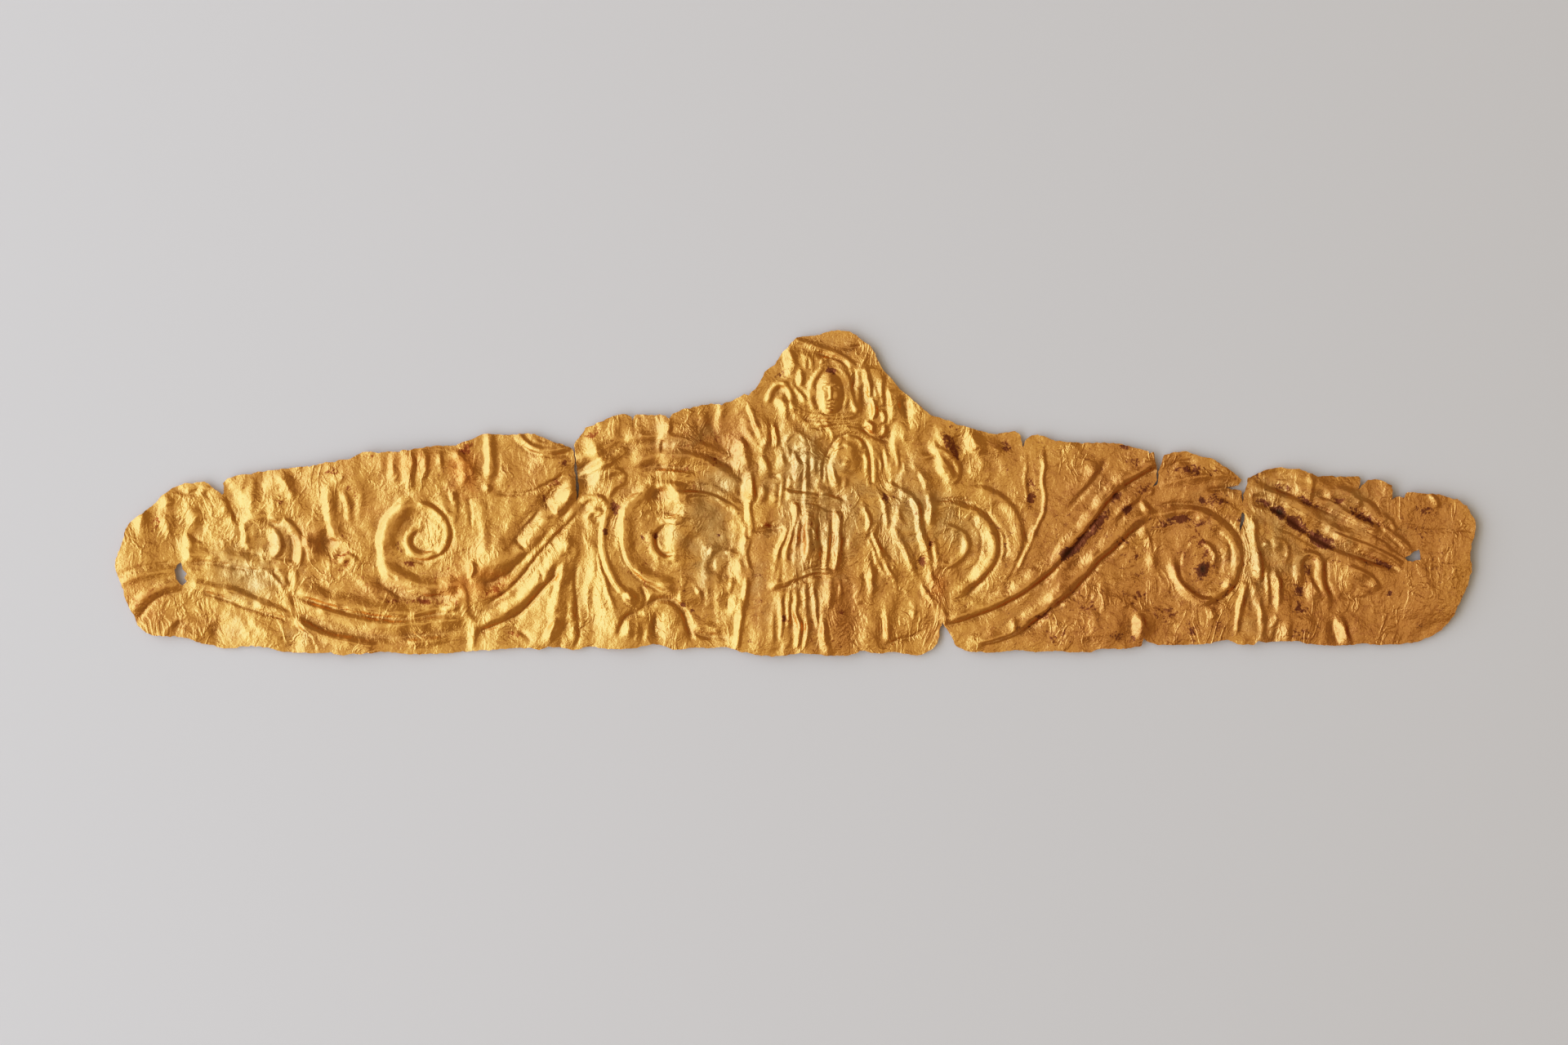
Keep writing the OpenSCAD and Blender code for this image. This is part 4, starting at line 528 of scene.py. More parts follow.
# Stains: (x, y, half length, half width, turned by degrees, strength, redness). Above 1 they cover, below 0.6 they mottle.
STAINS = [
    (1566, 627, 10, 7, 30, 1.5, 0.0), (1586, 642, 20, 10, 35, 1.0, 0.1), (1616, 662, 22, 9, 32, 1.0, 0.1),
    (1548, 616, 12, 5, 20, 0.8, 0.1), (1600, 615, 22, 6, 25, 0.75, 0.1), (1572, 596, 18, 4, 15, 0.6, 0.1),
    (1638, 614, 8, 5, 0, 0.8, 0.2), (1666, 634, 34, 9, 28, 0.7, 0.1), (1694, 692, 12, 5, 25, 0.9, 0.1),
    (1650, 684, 34, 6, 24, 0.45, 0.1), (1640, 690, 40, 14, 20, 0.35, 0.2), (1700, 727, 5, 5, 0, 0.9, 0.0),
    (1737, 765, 8, 7, 0, 0.7, 0.0), (1730, 650, 30, 16, 15, 0.4, 0.1), (1740, 625, 24, 7, 15, 0.45, 0.1),
    (1589, 723, 10, 9, 0, 0.8, 0.1), (1592, 745, 13, 11, 0, 0.6, 0.1), (1586, 774, 20, 16, 0, 0.5, 0.1),
    (1600, 700, 12, 12, 0, 0.45, 0.1), (1472, 697, 8, 11, 0, 1.5, 0.0), (1472, 690, 26, 26, 0, 0.5, 0.2),
    (1424, 752, 24, 12, 0, 0.55, 0.2), (1456, 771, 16, 16, 0, 0.7, 0.1), (1490, 768, 24, 16, 0, 0.45, 0.2), (1470, 660, 30, 30, 0, 0.42, 0.3),
    (1540, 590, 24, 12, 0, 0.4, 0.1), (1450, 640, 50, 12, 0, 0.45, 0.1), (1400, 700, 40, 40, 0, 0.3, 0.2), (1340, 560, 50, 24, 0, 0.28, 0.2),
    (1501, 725, 14, 8, -30, 0.5, 0.1), (1443, 636, 12, 6, -5, 1.1, 0.1), (1424, 641, 18, 7, -10, 0.8, 0.1),
    (1462, 640, 16, 7, 12, 0.8, 0.1), (1487, 613, 18, 10, 8, 0.85, 0.1), (1472, 613, 5, 4, 0, 1.2, 0.0),
    (1515, 632, 14, 12, 20, 0.5, 0.1), (1455, 577, 24, 8, -5, 0.7, 0.1), (1480, 575, 26, 8, 10, 0.45, 0.1),
    (1430, 590, 14, 9, 0, 0.4, 0.2), (1307, 677, 15, 8, -35, 1.3, 0.0), (1324, 662, 17, 8, -45, 1.0, 0.1),
    (1338, 648, 14, 10, -48, 0.95, 0.1), (1352, 630, 13, 7, -50, 0.8, 0.1), (1367, 608, 8, 7, 0, 0.9, 0.1),
    (1380, 623, 13, 6, -35, 0.85, 0.1), (1398, 600, 20, 10, -35, 0.5, 0.2), (1390, 565, 24, 8, 20, 0.55, 0.2),
    (1376, 548, 16, 5, 10, 0.6, 0.1), (1375, 662, 10, 12, -40, 0.6, 0.1), (1261, 613, 7, 12, 0, 0.85, 0.2),
    (1262, 590, 8, 16, 0, 0.5, 0.3), (1232, 548, 9, 9, 0, 0.7, 0.2), (1228, 560, 14, 18, 0, 0.4, 0.3),
    (1163, 546, 9, 24, -25, 0.9, 0.3), (1172, 526, 12, 5, 10, 0.7, 0.2), (1087, 610, 12, 9, 0, 0.75, 0.2),
    (1102, 636, 5, 9, 0, 0.75, 0.3), (1129, 689, 6, 8, 0, 0.9, 0.3), (1139, 666, 5, 8, 0, 0.8, 0.4),
    (1280, 750, 40, 9, -38, 0.5, 0.2), (1330, 735, 40, 20, 0, 0.42, 0.2), (1388, 730, 26, 14, 0, 0.45, 0.2),
    (1300, 780, 50, 12, 0, 0.42, 0.2), (1375, 780, 20, 8, 0, 0.45, 0.1), (1230, 668, 5, 22, 8, 0.5, 0.0),
    (955, 459, 9, 9, 0, 0.7, 0.2), (1017, 455, 9, 5, 10, 1.0, 0.2), (1075, 440, 8, 16, -20, 0.4, 0.3),
    (753, 620, 7, 11, 0, 0.85, 0.2), (742, 652, 4, 5, 0, 1.1, 0.2), (787, 658, 4, 6, 0, 1.0, 0.2),
    (803, 655, 5, 7, 0, 0.85, 0.2), (838, 741, 6, 4, 20, 0.9, 0.2), (848, 748, 6, 5, 30, 0.85, 0.2), (833, 722, 12, 8, 0, 0.5, 0.4),
    (880, 655, 3, 3, 0, 1.1, 0.0), (962, 757, 7, 6, 0, 0.75, 0.3), (1023, 765, 3, 3, 0, 1.0, 0.3),
    (1037, 772, 3, 3, 0, 1.0, 0.3), (1030, 792, 3, 3, 0, 1.0, 0.3), (918, 785, 3, 3, 0, 1.0, 0.3),
    (1030, 760, 18, 40, 0, 0.42, 0.5), (930, 720, 14, 50, 0, 0.36, 0.2), (693, 564, 10, 7, -20, 0.7, 0.3),
    (680, 590, 18, 8, -30, 0.5, 0.5), (660, 612, 14, 8, -30, 0.45, 0.4), (610, 720, 36, 10, -38, 0.62, 0.9),
    (645, 690, 30, 7, -46, 0.45, 1.0), (503, 690, 9, 6, 0, 0.95, 0.4), (490, 672, 8, 16, -20, 0.5, 0.4),
    (508, 737, 40, 5, 3, 0.8, 0.5), (560, 742, 14, 5, 0, 0.6, 0.7), (470, 735, 24, 6, 8, 0.6, 0.5),
    (345, 612, 9, 5, 0, 0.7, 0.4), (400, 580, 16, 6, -10, 0.6, 0.5), (425, 612, 26, 30, 0, 0.42, 0.6),
    (560, 582, 16, 16, 0, 0.5, 0.5), (572, 552, 12, 16, 10, 0.48, 0.6), (470, 560, 70, 5, -6, 0.46, 0.6),
    (578, 610, 12, 6, 0, 0.5, 0.7), (632, 776, 16, 6, 0, 0.7, 0.8), (420, 690, 30, 20, 0, 0.4, 0.7),
    (190, 640, 30, 20, -30, 0.35, 0.7), (860, 560, 40, 30, 0, 0.32, 0.6), (790, 700, 14, 24, 0, 0.42, 0.7),
    (730, 530, 16, 14, 0, 0.45, 0.7), (1075, 527, 12, 7, 0, 0.5, 0.6), (940, 643, 5, 4, 0, 0.9, 1.0),
]

# The gold's tint, partly real and partly painted light: (x, y, reach along x, reach along y, pale, dull). Pale is
# greenish and soft, partly painted light and reflection; dull is brown, partly painted shade on zones made darker.
TINTS_AND_PAINTED_LIGHT = [
    (300, 705, 55, 40, 0.9, 0.0), (330, 640, 40, 30, 0.4, 0.0), (170, 720, 40, 60, -0.4, 0.4), (230, 765, 50, 16, 0.0, 0.4),
    (868, 530, 40, 30, 0.1, 0.35), (500, 725, 60, 12, 0.0, 0.4), (480, 788, 50, 14, 0.0, 0.35), (625, 660, 40, 26, 0.0, 0.35),
    (330, 775, 60, 16, 0.5, 0.0), (380, 660, 20, 20, 0.0, 0.7), (440, 650, 40, 60, -0.2, 0.2), (590, 715, 50, 24, -0.8, 0.4),
    (650, 580, 50, 30, 0.1, 0.4), (600, 750, 80, 20, -0.3, 0.0), (500, 565, 70, 20, -0.5, 0.3), (570, 575, 20, 30, -0.9, 0.5),
    (740, 730, 40, 60, 0.3, -0.3), (725, 580, 20, 30, 0.5, -0.3), (840, 535, 70, 25, 0.3, 0.3), (870, 660, 36, 60, 0.9, 0.3),
    (822, 660, 14, 30, 0.3, -0.3), (890, 590, 40, 20, 0.5, 0.2), (930, 720, 16, 70, 0.4, 0.7), (905, 530, 30, 30, 0.1, 0.7),
    (990, 560, 50, 50, 0.7, 0.0), (1010, 640, 60, 60, 0.5, 0.2), (1010, 740, 60, 60, 0.3, 0.2), (1034, 755, 18, 50, -0.5, 0.8),
    (1000, 420, 40, 20, 0.3, 0.2), (1050, 430, 30, 20, 0.2, 0.5), (1075, 525, 30, 16, -0.6, 0.3), (975, 620, 36, 90, 0.2, 0.35), (1070, 480, 30, 40, 0.3, 0.0),
    (1110, 600, 40, 70, 0.3, 0.3), (1160, 640, 70, 50, 0.6, 0.0), (1150, 715, 16, 40, -0.8, 0.8), (1200, 550, 50, 30, 0.0, 0.5),
    (1320, 600, 90, 60, 0.1, 0.8), (1270, 700, 60, 60, 0.1, 0.5), (1370, 740, 90, 60, -0.1, 0.8), (1300, 780, 140, 24, -0.2, 0.6),
    (1450, 600, 60, 50, 0.1, 0.8), (1460, 700, 60, 90, 0.1, 0.8), (1540, 700, 40, 100, 0.5, 0.3), (1580, 600, 60, 30, 0.3, 0.6),
    (1620, 660, 70, 50, 0.5, 0.6), (1600, 760, 70, 40, 0.0, 0.7), (1700, 760, 90, 50, -0.1, 0.9), (1740, 650, 80, 60, 0.1, 0.8),
    (1680, 610, 50, 30, 0.3, 0.6),
]

# ---------------------------------------------------------------------------
# Fields over the chart
# ---------------------------------------------------------------------------
X0, Y0, X1, Y1 = 130, 392, 1818, 816
NX, NY = X1 - X0 + 1, Y1 - Y0 + 1
GX, GY = np.meshgrid(np.arange(X0, X1 + 1, dtype=float), np.arange(Y0, Y1 + 1, dtype=float))


def smooth_line(points, step=3.0):
    """A smooth curve through the points, as many short steps."""
    p = np.array(points, float)
    if len(p) == 2:
        n = max(2, int(np.hypot(*(p[1] - p[0])) / step) + 1)
        return p[0] + (p[1] - p[0]) * np.linspace(0, 1, n)[:, None]
    q = np.vstack([2 * p[0] - p[1], p, 2 * p[-1] - p[-2]])
    out = []
    for i in range(1, len(q) - 2):
        a, b, c, d = q[i - 1], q[i], q[i + 1], q[i + 2]
        n = max(1, int(round(np.hypot(*(c - b)) / step)))
        for t in np.arange(n) / n:
            out.append(0.5 * (2 * b + (c - a) * t + (2 * a - 5 * b + 4 * c - d) * t ** 2
                              + (3 * b - a - 3 * c + d) * t ** 3))
    out.append(q[-2])
    return np.array(out)


def line_field(points, reach):
    """The box round a curve: its slices, the distance to the curve, which side of it a place is on (1 on the left or,
    by a level stroke, below it; -1 on the other), the place along it and its length."""
    p = smooth_line(points)
    x0, x1 = int(max(X0, math.floor(p[:, 0].min() - reach))), int(min(X1, math.ceil(p[:, 0].max() + reach)))
    y0, y1 = int(max(Y0, math.floor(p[:, 1].min() - reach))), int(min(Y1, math.ceil(p[:, 1].max() + reach)))
    box = (slice(y0 - Y0, y1 - Y0 + 1), slice(x0 - X0, x1 - X0 + 1))
    dist = np.full((y1 - y0 + 1, x1 - x0 + 1), 1e9)
    along, side = np.zeros_like(dist), np.ones_like(dist)
    run = 0.0
    for a, b in zip(p[:-1], p[1:]):
        lx, hx = min(a[0], b[0]) - reach, max(a[0], b[0]) + reach
        ly, hy = min(a[1], b[1]) - reach, max(a[1], b[1]) + reach
        sx = slice(max(0, int(lx - x0)), max(0, int(hx - x0) + 2))
        sy = slice(max(0, int(ly - y0)), max(0, int(hy - y0) + 2))
        gx, gy = GX[box][sy, sx], GY[box][sy, sx]
        if gx.size == 0:
            continue
        d = b - a
        q = float(d @ d) or 1e-9
        t = np.clip(((gx - a[0]) * d[0] + (gy - a[1]) * d[1]) / q, 0, 1)
        ox, oy = gx - a[0] - t * d[0], gy - a[1] - t * d[1]
        e = np.hypot(ox, oy)
        near = e < dist[sy, sx]
        lean = np.clip(3 * (0.17 * oy - 0.98 * ox) / (e + 1e-6), -1, 1)
        dist[sy, sx] = np.where(near, e, dist[sy, sx])
        side[sy, sx] = np.where(near, lean, side[sy, sx])
        along[sy, sx] = np.where(near, run + t * math.sqrt(q), along[sy, sx])
        run += math.sqrt(q)
    return box, dist, side, along, run


def ends(along, run, taper, least):
    """Fades a stroke at both its ends, down to a share of its height."""
    e = np.clip(np.minimum(along, run - along) / min(taper, run / 2.2), 0, 1)
    return least + (1 - least) * e * (2 - e)


def blur(a, s):
    """A soft blur of reach s."""
    pad = int(3 * s) + 1
    b = np.pad(a, pad, mode="edge")
    fy, fx = np.fft.fftfreq(b.shape[0])[:, None], np.fft.rfftfreq(b.shape[1])[None]
    g = np.exp(-2 * (math.pi * s) ** 2 * (fx ** 2 + fy ** 2))
    return np.fft.irfft2(np.fft.rfft2(b) * g, s=b.shape)[pad:-pad, pad:-pad]


def noise(s, sx=None):
    """Smooth noise of unit spread whose grain is about s units."""
    a = rng.standard_normal(GX.shape)
    fy, fx = np.fft.fftfreq(NY)[:, None], np.fft.rfftfreq(NX)[None]
    sx = sx or s
    g = np.exp(-2 * math.pi ** 2 * ((sx * fx) ** 2 + (s * fy) ** 2) / 4)
    a = np.fft.irfft2(np.fft.rfft2(a) * g, s=a.shape)
    return a / a.std()


def bells(rows):
    out = np.zeros_like(GX)
    for x, y, rx, ry, h in rows:
        out += h * np.exp(-((GX - x) / rx) ** 2 - ((GY - y) / ry) ** 2)
    return out


def shares(gx, gy, a, b, turn):
    """How far out a place lies in a turned ellipse: 1 on its outline."""
    c, s = math.cos(math.radians(turn)), math.sin(math.radians(turn))
    return np.hypot((gx * c + gy * s) / a, (gy * c - gx * s) / b)


def two_sided(d, sd, one, other):
    """The distance from a stroke as a share of its reach, which differs from side to side."""
    return np.clip(d / (0.5 * (one + other) + 0.5 * (one - other) * sd), 0, 1)


ridge = np.zeros_like(GX)
for one, other, h, pts in RIDGES:
    box, d, sd, al, run = line_field(pts, max(one, other) + 1)
    wob = 1 + 0.05 * np.sin(al / 9.0 + pts[0][0]) + 0.04 * np.sin(al / 4.1 + pts[0][1])
    v = 0.92 * h * wob * (1 - two_sided(d, sd, one * wob, other * wob) ** 1.7) * ends(al, run, 1.2 * max(one, other), 0.3)
    r = ridge[box]
    ridge[box] = np.maximum(r, v) + 0.2 * np.minimum(r, v)

for x, y, a, b, turn, h in DOMES:
    v = 0.5 + 0.5 * np.cos(math.pi * np.clip(shares(GX - x, GY - y, a, b, turn), 0, 1))
    if h > 0:
        ridge = np.maximum(ridge, h * v) + 0.3 * np.minimum(ridge, h * v)
    else:
        ridge = ridge + h * v

# the head of the standing figure
hx, hy, half_wide, half_long, high = HEAD
e = shares(GX - hx, GY - hy, half_wide + 2.0, half_long + 2.0, 0)
head = high * np.clip(1 - e ** 2.2, 0, 1) ** 0.75
ridge = np.maximum(ridge, head) + 0.15 * np.minimum(ridge, head) * (e > 0.85)
on_face = np.clip((1.0 - e) / 0.12, 0, 1)
features = np.zeros_like(GX)
for fx, fy, a, b, h in [(s * q[0], *q[1:]) for q in FACE_PAIRS for s in (-1, 1)] + FACE_MIDDLE:
    features += h * (0.5 + 0.5 * np.cos(math.pi * np.clip(shares(GX - hx - fx, GY - hy - fy, a + 0.4, b + 0.4, 0), 0, 1)))
features = features * on_face * 0.9

groove = np.zeros_like(GX)
for w, h, pts in GROOVES:
    w = w + 0.6
    box, d, sd, al, run = line_field(pts, w + 1)
    v = h * (0.5 + 0.5 * np.cos(math.pi * np.clip(d / w, 0, 1))) * ends(al, run, w * 3, 0.0)
    groove[box] = np.maximum(groove[box], v)

up, down = np.zeros_like(GX), np.zeros_like(GX)
for one, other, h, pts in FOLDS:
    box, d, sd, al, run = line_field(pts, max(one, other) + 1)
    v = abs(h) * (1 - two_sided(d, sd, one, other)) * ends(al, run, 22, 0.0)
    side = up if h > 0 else down
    side[box] = np.maximum(side[box], v) + 0.15 * np.minimum(side[box], v)

# patches at a tilt
tilted = np.zeros_like(GX)
for x, y, a, b, turn, tilt in FACETS:
    e = shares(GX - x, GY - y, a, b, turn)
    tilted += 1.3 * tilt * (0.98 * (GX - x) - 0.17 * (GY - y)) * np.exp(-e ** 2)

# the fine crumple of the foil: short sharp creases that lie at random, and soft dents
crumpled = np.clip(0.7 + bells(CRUMPLED), 0.1, 2.4)
fold = np.zeros_like(GX)
for k in range(1100):
    x, y = rng.uniform(X0, X1), rng.uniform(Y0, Y1)
    long, turn = rng.uniform(4, 22), rng.normal(math.pi / 2, 0.9)
    wide = rng.uniform(2.2, 6.5)
    high = rng.uniform(0.4, 1.2) * (wide / 6.0) * rng.choice((1, -1), p=(0.6, 0.4))
    bow = rng.normal(0, 0.22) * long
    dx, dy = math.cos(turn), math.sin(turn)
    pts = [(x - dx * long, y - dy * long), (x - dy * bow, y + dx * bow), (x + dx * long, y + dy * long)]
    if not (X0 < x < X1 and Y0 < y < Y1):
        continue
    box, d, sd, al, run = line_field(pts, wide * 1.5)
    fold[box] += high * np.clip(1 - d / (wide * 1.5), 0, 1) ** 1.4 * np.sin(math.pi * np.clip(al / run, 0, 1)) ** 0.7
for scale, high in ((34, 0.7), (15, 0.5)):
    n = noise(scale)
    fold += high * (0.8 - np.abs(n))
fold += 0.55 * noise(26) + 0.46 * noise(11) + 0.30 * noise(6.5) + 0.14 * noise(4.2)
rng = np.random.default_rng(23)
pleats = np.clip(bells(PLEATED), 0, 1) * (0.75 * noise(46, 4.2) + 0.55 * noise(60, 8.0) + 0.30 * noise(30, 2.6))
for k in range(1500):
    x, y = rng.uniform(X0 + 20, X1 - 20), rng.uniform(Y0 + 20, Y1 - 20)
    long, turn, wide = rng.uniform(3, 9), rng.normal(math.pi / 2, 1.0), rng.uniform(2.0, 3.6)
    high = rng.uniform(0.2, 0.65) * rng.choice((1, -1))
    dx, dy = math.cos(turn) * long, math.sin(turn) * long
    box, d, sd, al, run = line_field([(x - dx, y - dy), (x + rng.normal(0, 1.5), y + rng.normal(0, 1.5)), (x + dx, y + dy)], wide)
    fold[box] += high * np.clip(1 - d / wide, 0, 1) * np.sin(math.pi * np.clip(al / run, 0, 1)) ** 0.7


def waver(field, mx, my):
    """The field with every place moved a little, so that no stroke runs too true."""
    x, y = np.clip(GX - X0 + mx, 0, NX - 1.001), np.clip(GY - Y0 + my, 0, NY - 1.001)
    i, j = x.astype(int), y.astype(int)
    u, v = x - i, y - j
    return (field[j, i] * (1 - u) * (1 - v) + field[j, i + 1] * u * (1 - v)
            + field[j + 1, i] * (1 - u) * v + field[j + 1, i + 1] * u * v)


moved = (1.3 * noise(22) + 0.55 * noise(9), 1.1 * noise(22) + 0.5 * noise(9))
uneven = np.clip(1 + 0.32 * noise(30) + 0.26 * noise(12), 0.25, 1.8)
calm = 1 - np.exp(-((GX - hx) / 26.0) ** 4 - ((GY - hy) / 36.0) ** 4)        # the head stays undisturbed
ridge = waver(ridge, 0.4 * moved[0] * calm, 0.4 * moved[1] * calm)
groove = waver(groove, 0.4 * moved[0] * calm, 0.4 * moved[1] * calm)
up = waver(up, *moved) * (1 + (uneven - 1) * calm)
down = waver(down, *moved) * (1 + (uneven - 1) * calm)
fold, pleats, tilted = fold * (0.15 + 0.85 * calm), pleats * calm, tilted * (0.2 + 0.8 * calm)
height = (blur(ridge - groove, 0.4) + blur(features, 0.35) + blur(up - down, 0.3) + tilted + pleats
          + blur(fold, 0.6) * crumpled * 0.85
          + 1.2 * noise(70) + 0.3 * noise(44) + bells(SWELLS) * 0.6)

# stains, and how deep each place lies in its neighbourhood, for painted shade in the hollows
stain, redness = np.zeros_like(GX), np.zeros_like(GX)
for x, y, a, b, turn, h, red in STAINS:
    c, s = math.cos(math.radians(turn)), math.sin(math.radians(turn))
    dx, dy = GX - x, GY - y
    e = ((dx * c + dy * s) / a) ** 2 + ((dy * c - dx * s) / b) ** 2
    v = h * np.exp(-e)
    redness = np.where(v > stain, red, redness)
    stain = np.maximum(stain, v)
# pale paints light and reflection and dull paints shade, mixed with the gold's own tint
pale_tint_and_painted_light = np.clip(bells([r[:5] for r in TINTS_AND_PAINTED_LIGHT]), -1, 1)
dull_tint_and_painted_shade = np.clip(bells([r[:4] + r[5:] for r in TINTS_AND_PAINTED_LIGHT]), -0.5, 1)
hollow = blur(height, 9) - blur(height, 1.5)
painted_shade_depth = np.clip(hollow / 3.0, -1, 1)

# ---------------------------------------------------------------------------
# The sheet
# ---------------------------------------------------------------------------


def rough_edge(points, step=2.6, amount=0.55):
    """The closed outline at short steps, slightly ragged."""
    p = np.array(points, float)
    q = np.vstack([p, p[:1]])
    out = []
    for a, b in zip(q[:-1], q[1:]):
        n = max(1, int(round(np.hypot(*(b - a)) / step)))
        out += [a + (b - a) * k / n for k in range(n)]
    out = np.array(out)
    jit = rng.standard_normal(out.shape) * amount
    jit = 0.6 * jit + 0.4 * np.roll(jit, 1, axis=0)
    return out + jit


loops = [rough_edge(TOP_EDGE + LOW_EDGE), rough_edge(HOLE_LEFT, amount=0.3), rough_edge(HOLE_RIGHT, amount=0.3),
         rough_edge(SLIT, amount=0.15)]


def inside(px, py):
    """Even-odd test against all loops."""
    hit = np.zeros(px.shape, bool)
    for loop in loops:
        nxt = np.roll(loop, -1, axis=0)
        for (ax, ay), (bx, by) in zip(loop, nxt):
            if ay == by:
                continue
            m = (py >= min(ay, by)) & (py < max(ay, by))
            if m.any():
                i = np.nonzero(m)[0]
                i = i[px[i] < ax + (py[i] - ay) / (by - ay) * (bx - ax)]
                hit[i] ^= True
    return hit


gy, gx = np.gradient(height)
gyy, gyx = np.gradient(gy)
gxy, gxx = np.gradient(gx)
bend = blur(np.sqrt(gxx ** 2 + gyy ** 2 + 2 * gxy ** 2), 1.2)


def sample(field, x, y):
    x = np.clip(np.asarray(x, float) - X0, 0, NX - 1.001)
    y = np.clip(np.asarray(y, float) - Y0, 0, NY - 1.001)
    i, j = x.astype(int), y.astype(int)
    u, v = x - i, y - j
    return (field[j, i] * (1 - u) * (1 - v) + field[j, i + 1] * u * (1 - v)
            + field[j + 1, i] * (1 - u) * v + field[j + 1, i + 1] * u * v)


BUDGET, BUDGET_BACK = 72000, 17500
edge = np.vstack(loops)
cell = {}
for k, (x, y) in enumerate(edge):
    cell.setdefault((int(x // 4), int(y // 4)), []).append(k)


def spread(step, budget):
    """Points inside the outline: a loose lattice everywhere, and close ones where the relief bends most."""
    ny, nx = int((Y1 - Y0) / (step * 0.866)), int((X1 - X0) / step)
    jj, ii = np.meshgrid(np.arange(ny), np.arange(nx), indexing="ij")
    px = X0 + (ii + 0.5 * (jj % 2)) * step
    py = Y0 + jj * step * 0.866
    coarse = ((ii % 2 == 0) & (jj % 4 == 0)) | ((ii % 2 == 1) & (jj % 4 == 2))
    px, py, coarse = px.ravel(), py.ravel(), coarse.ravel()
    px = px + rng.uniform(-0.12, 0.12, px.shape) * step
    py = py + rng.uniform(-0.12, 0.12, py.shape) * step
    keep = inside(px, py)
    px, py, coarse = px[keep], py[keep], coarse[keep]
    if step < 2:
        off = shares(px - hx, py - hy, half_wide + 4, half_long + 4, 0) > 1
        qy, qx = np.mgrid[hy - half_long - 4:hy + half_long + 4:1.0, hx - half_wide - 4:hx + half_wide + 4:1.1]
        qx = (qx + 0.55 * (np.arange(qx.shape[0]) % 2)[:, None]).ravel()
        qy = qy.ravel()
        on = shares(qx - hx, qy - hy, half_wide + 3.4, half_long + 3.4, 0) < 1
        px, py = np.concatenate([px[off], qx[on]]), np.concatenate([py[off], qy[on]])
        coarse = np.concatenate([coarse[off], np.ones(on.sum(), bool)])
    near = np.zeros(px.shape, bool)
    for k, (x, y) in enumerate(zip(px, py)):
        cx, cy = int(x // 4), int(y // 4)
        for a in (cx - 1, cx, cx + 1):
            for b in (cy - 1, cy, cy + 1):
                for e in cell.get((a, b), ()):
                    if (edge[e, 0] - x) ** 2 + (edge[e, 1] - y) ** 2 < 1.9:
                        near[k] = True
    px, py, coarse = px[~near], py[~near], coarse[~near]
    worth = sample(bend, px, py)
    worth[coarse] = 1e9
    order = np.argsort(-worth)[:budget - len(edge)]
    return np.stack([px[order], py[order]], 1)


def skin(inner):
    """Triangles over the outline's loops and the inner points, facing up."""
    pts, cons = [], []
    for loop in loops:
        n0, n = len(pts), len(loop)
        pts += loop.tolist()
        cons += [(n0 + k, n0 + (k + 1) % n) for k in range(n)]
    pts += inner.tolist()
    verts, _, faces, _, _, _ = delaunay_2d_cdt([Vector(p) for p in pts], cons, [], 0, 1e-4)
    P, F = np.array([v[:] for v in verts]), np.array(faces)
    mid = P[F].mean(1)
    F = F[inside(mid[:, 0], mid[:, 1])]
    a, b, c = P[F[:, 0]], P[F[:, 1]], P[F[:, 2]]
    turn = (b[:, 0] - a[:, 0]) * (c[:, 1] - a[:, 1]) - (b[:, 1] - a[:, 1]) * (c[:, 0] - a[:, 0])
    F, turn = F[np.abs(turn) > 1e-6], turn[np.abs(turn) > 1e-6]
    F[turn > 0] = F[turn > 0][:, ::-1]        # y runs down in the chart, so this faces up
    used = np.unique(F)
    place_of = np.full(len(P), -1)
    place_of[used] = np.arange(len(used))
    return P[used], place_of[F]


def rim_of(F):
    """Every edge that has a face on one side only."""
    half = np.concatenate([F[:, [0, 1]], F[:, [1, 2]], F[:, [2, 0]]])
    key = set(map(tuple, half.tolist()))
    return [(i, j) for i, j in key if (j, i) not in key]


def lowest(field, reach):
    """The lowest value near each place, in a square of that reach."""
    for axis in (0, 1):
        field = np.min([np.roll(field, k, axis) for k in range(-reach, reach + 1)], axis=0)
    return field


P, F = skin(spread(1.85, BUDGET))
PB, FB = skin(spread(2.6, BUDGET_BACK))
N = len(P)
rim, rim_back = rim_of(F), rim_of(FB)
at_rim = np.zeros(len(PB), bool)
at_rim[[i for e in rim_back for i in e]] = True
spot = {(round(PB[k, 0], 3), round(PB[k, 1], 3)): k + N for k in np.nonzero(at_rim)[0]}
z = sample(height, P[:, 0], P[:, 1])
zb = np.where(at_rim, sample(height, PB[:, 0], PB[:, 1]) - SHEET_T, sample(lowest(height, 5), PB[:, 0], PB[:, 1]) - 1.3 * SHEET_T)
low = zb.min()
co = np.empty((N + len(PB), 3))
co[:N, 0] = (P[:, 0] - MID_X) * UNIT
co[:N, 1] = (MID_Y - P[:, 1]) * UNIT
co[:N, 2] = (z - low) * UNIT
co[N:, 0] = (PB[:, 0] - MID_X) * UNIT
co[N:, 1] = (MID_Y - PB[:, 1]) * UNIT
co[N:, 2] = (zb - low) * UNIT
walls = []
for i, j in rim:
    bi, bj = spot[(round(P[i, 0], 3), round(P[i, 1], 3))], spot[(round(P[j, 0], 3), round(P[j, 1], 3))]
    walls += [(j, i, bi), (j, bi, bj)]
tris = np.concatenate([F, FB[:, ::-1] + N, np.array(walls)])
chart = np.vstack([P, PB])

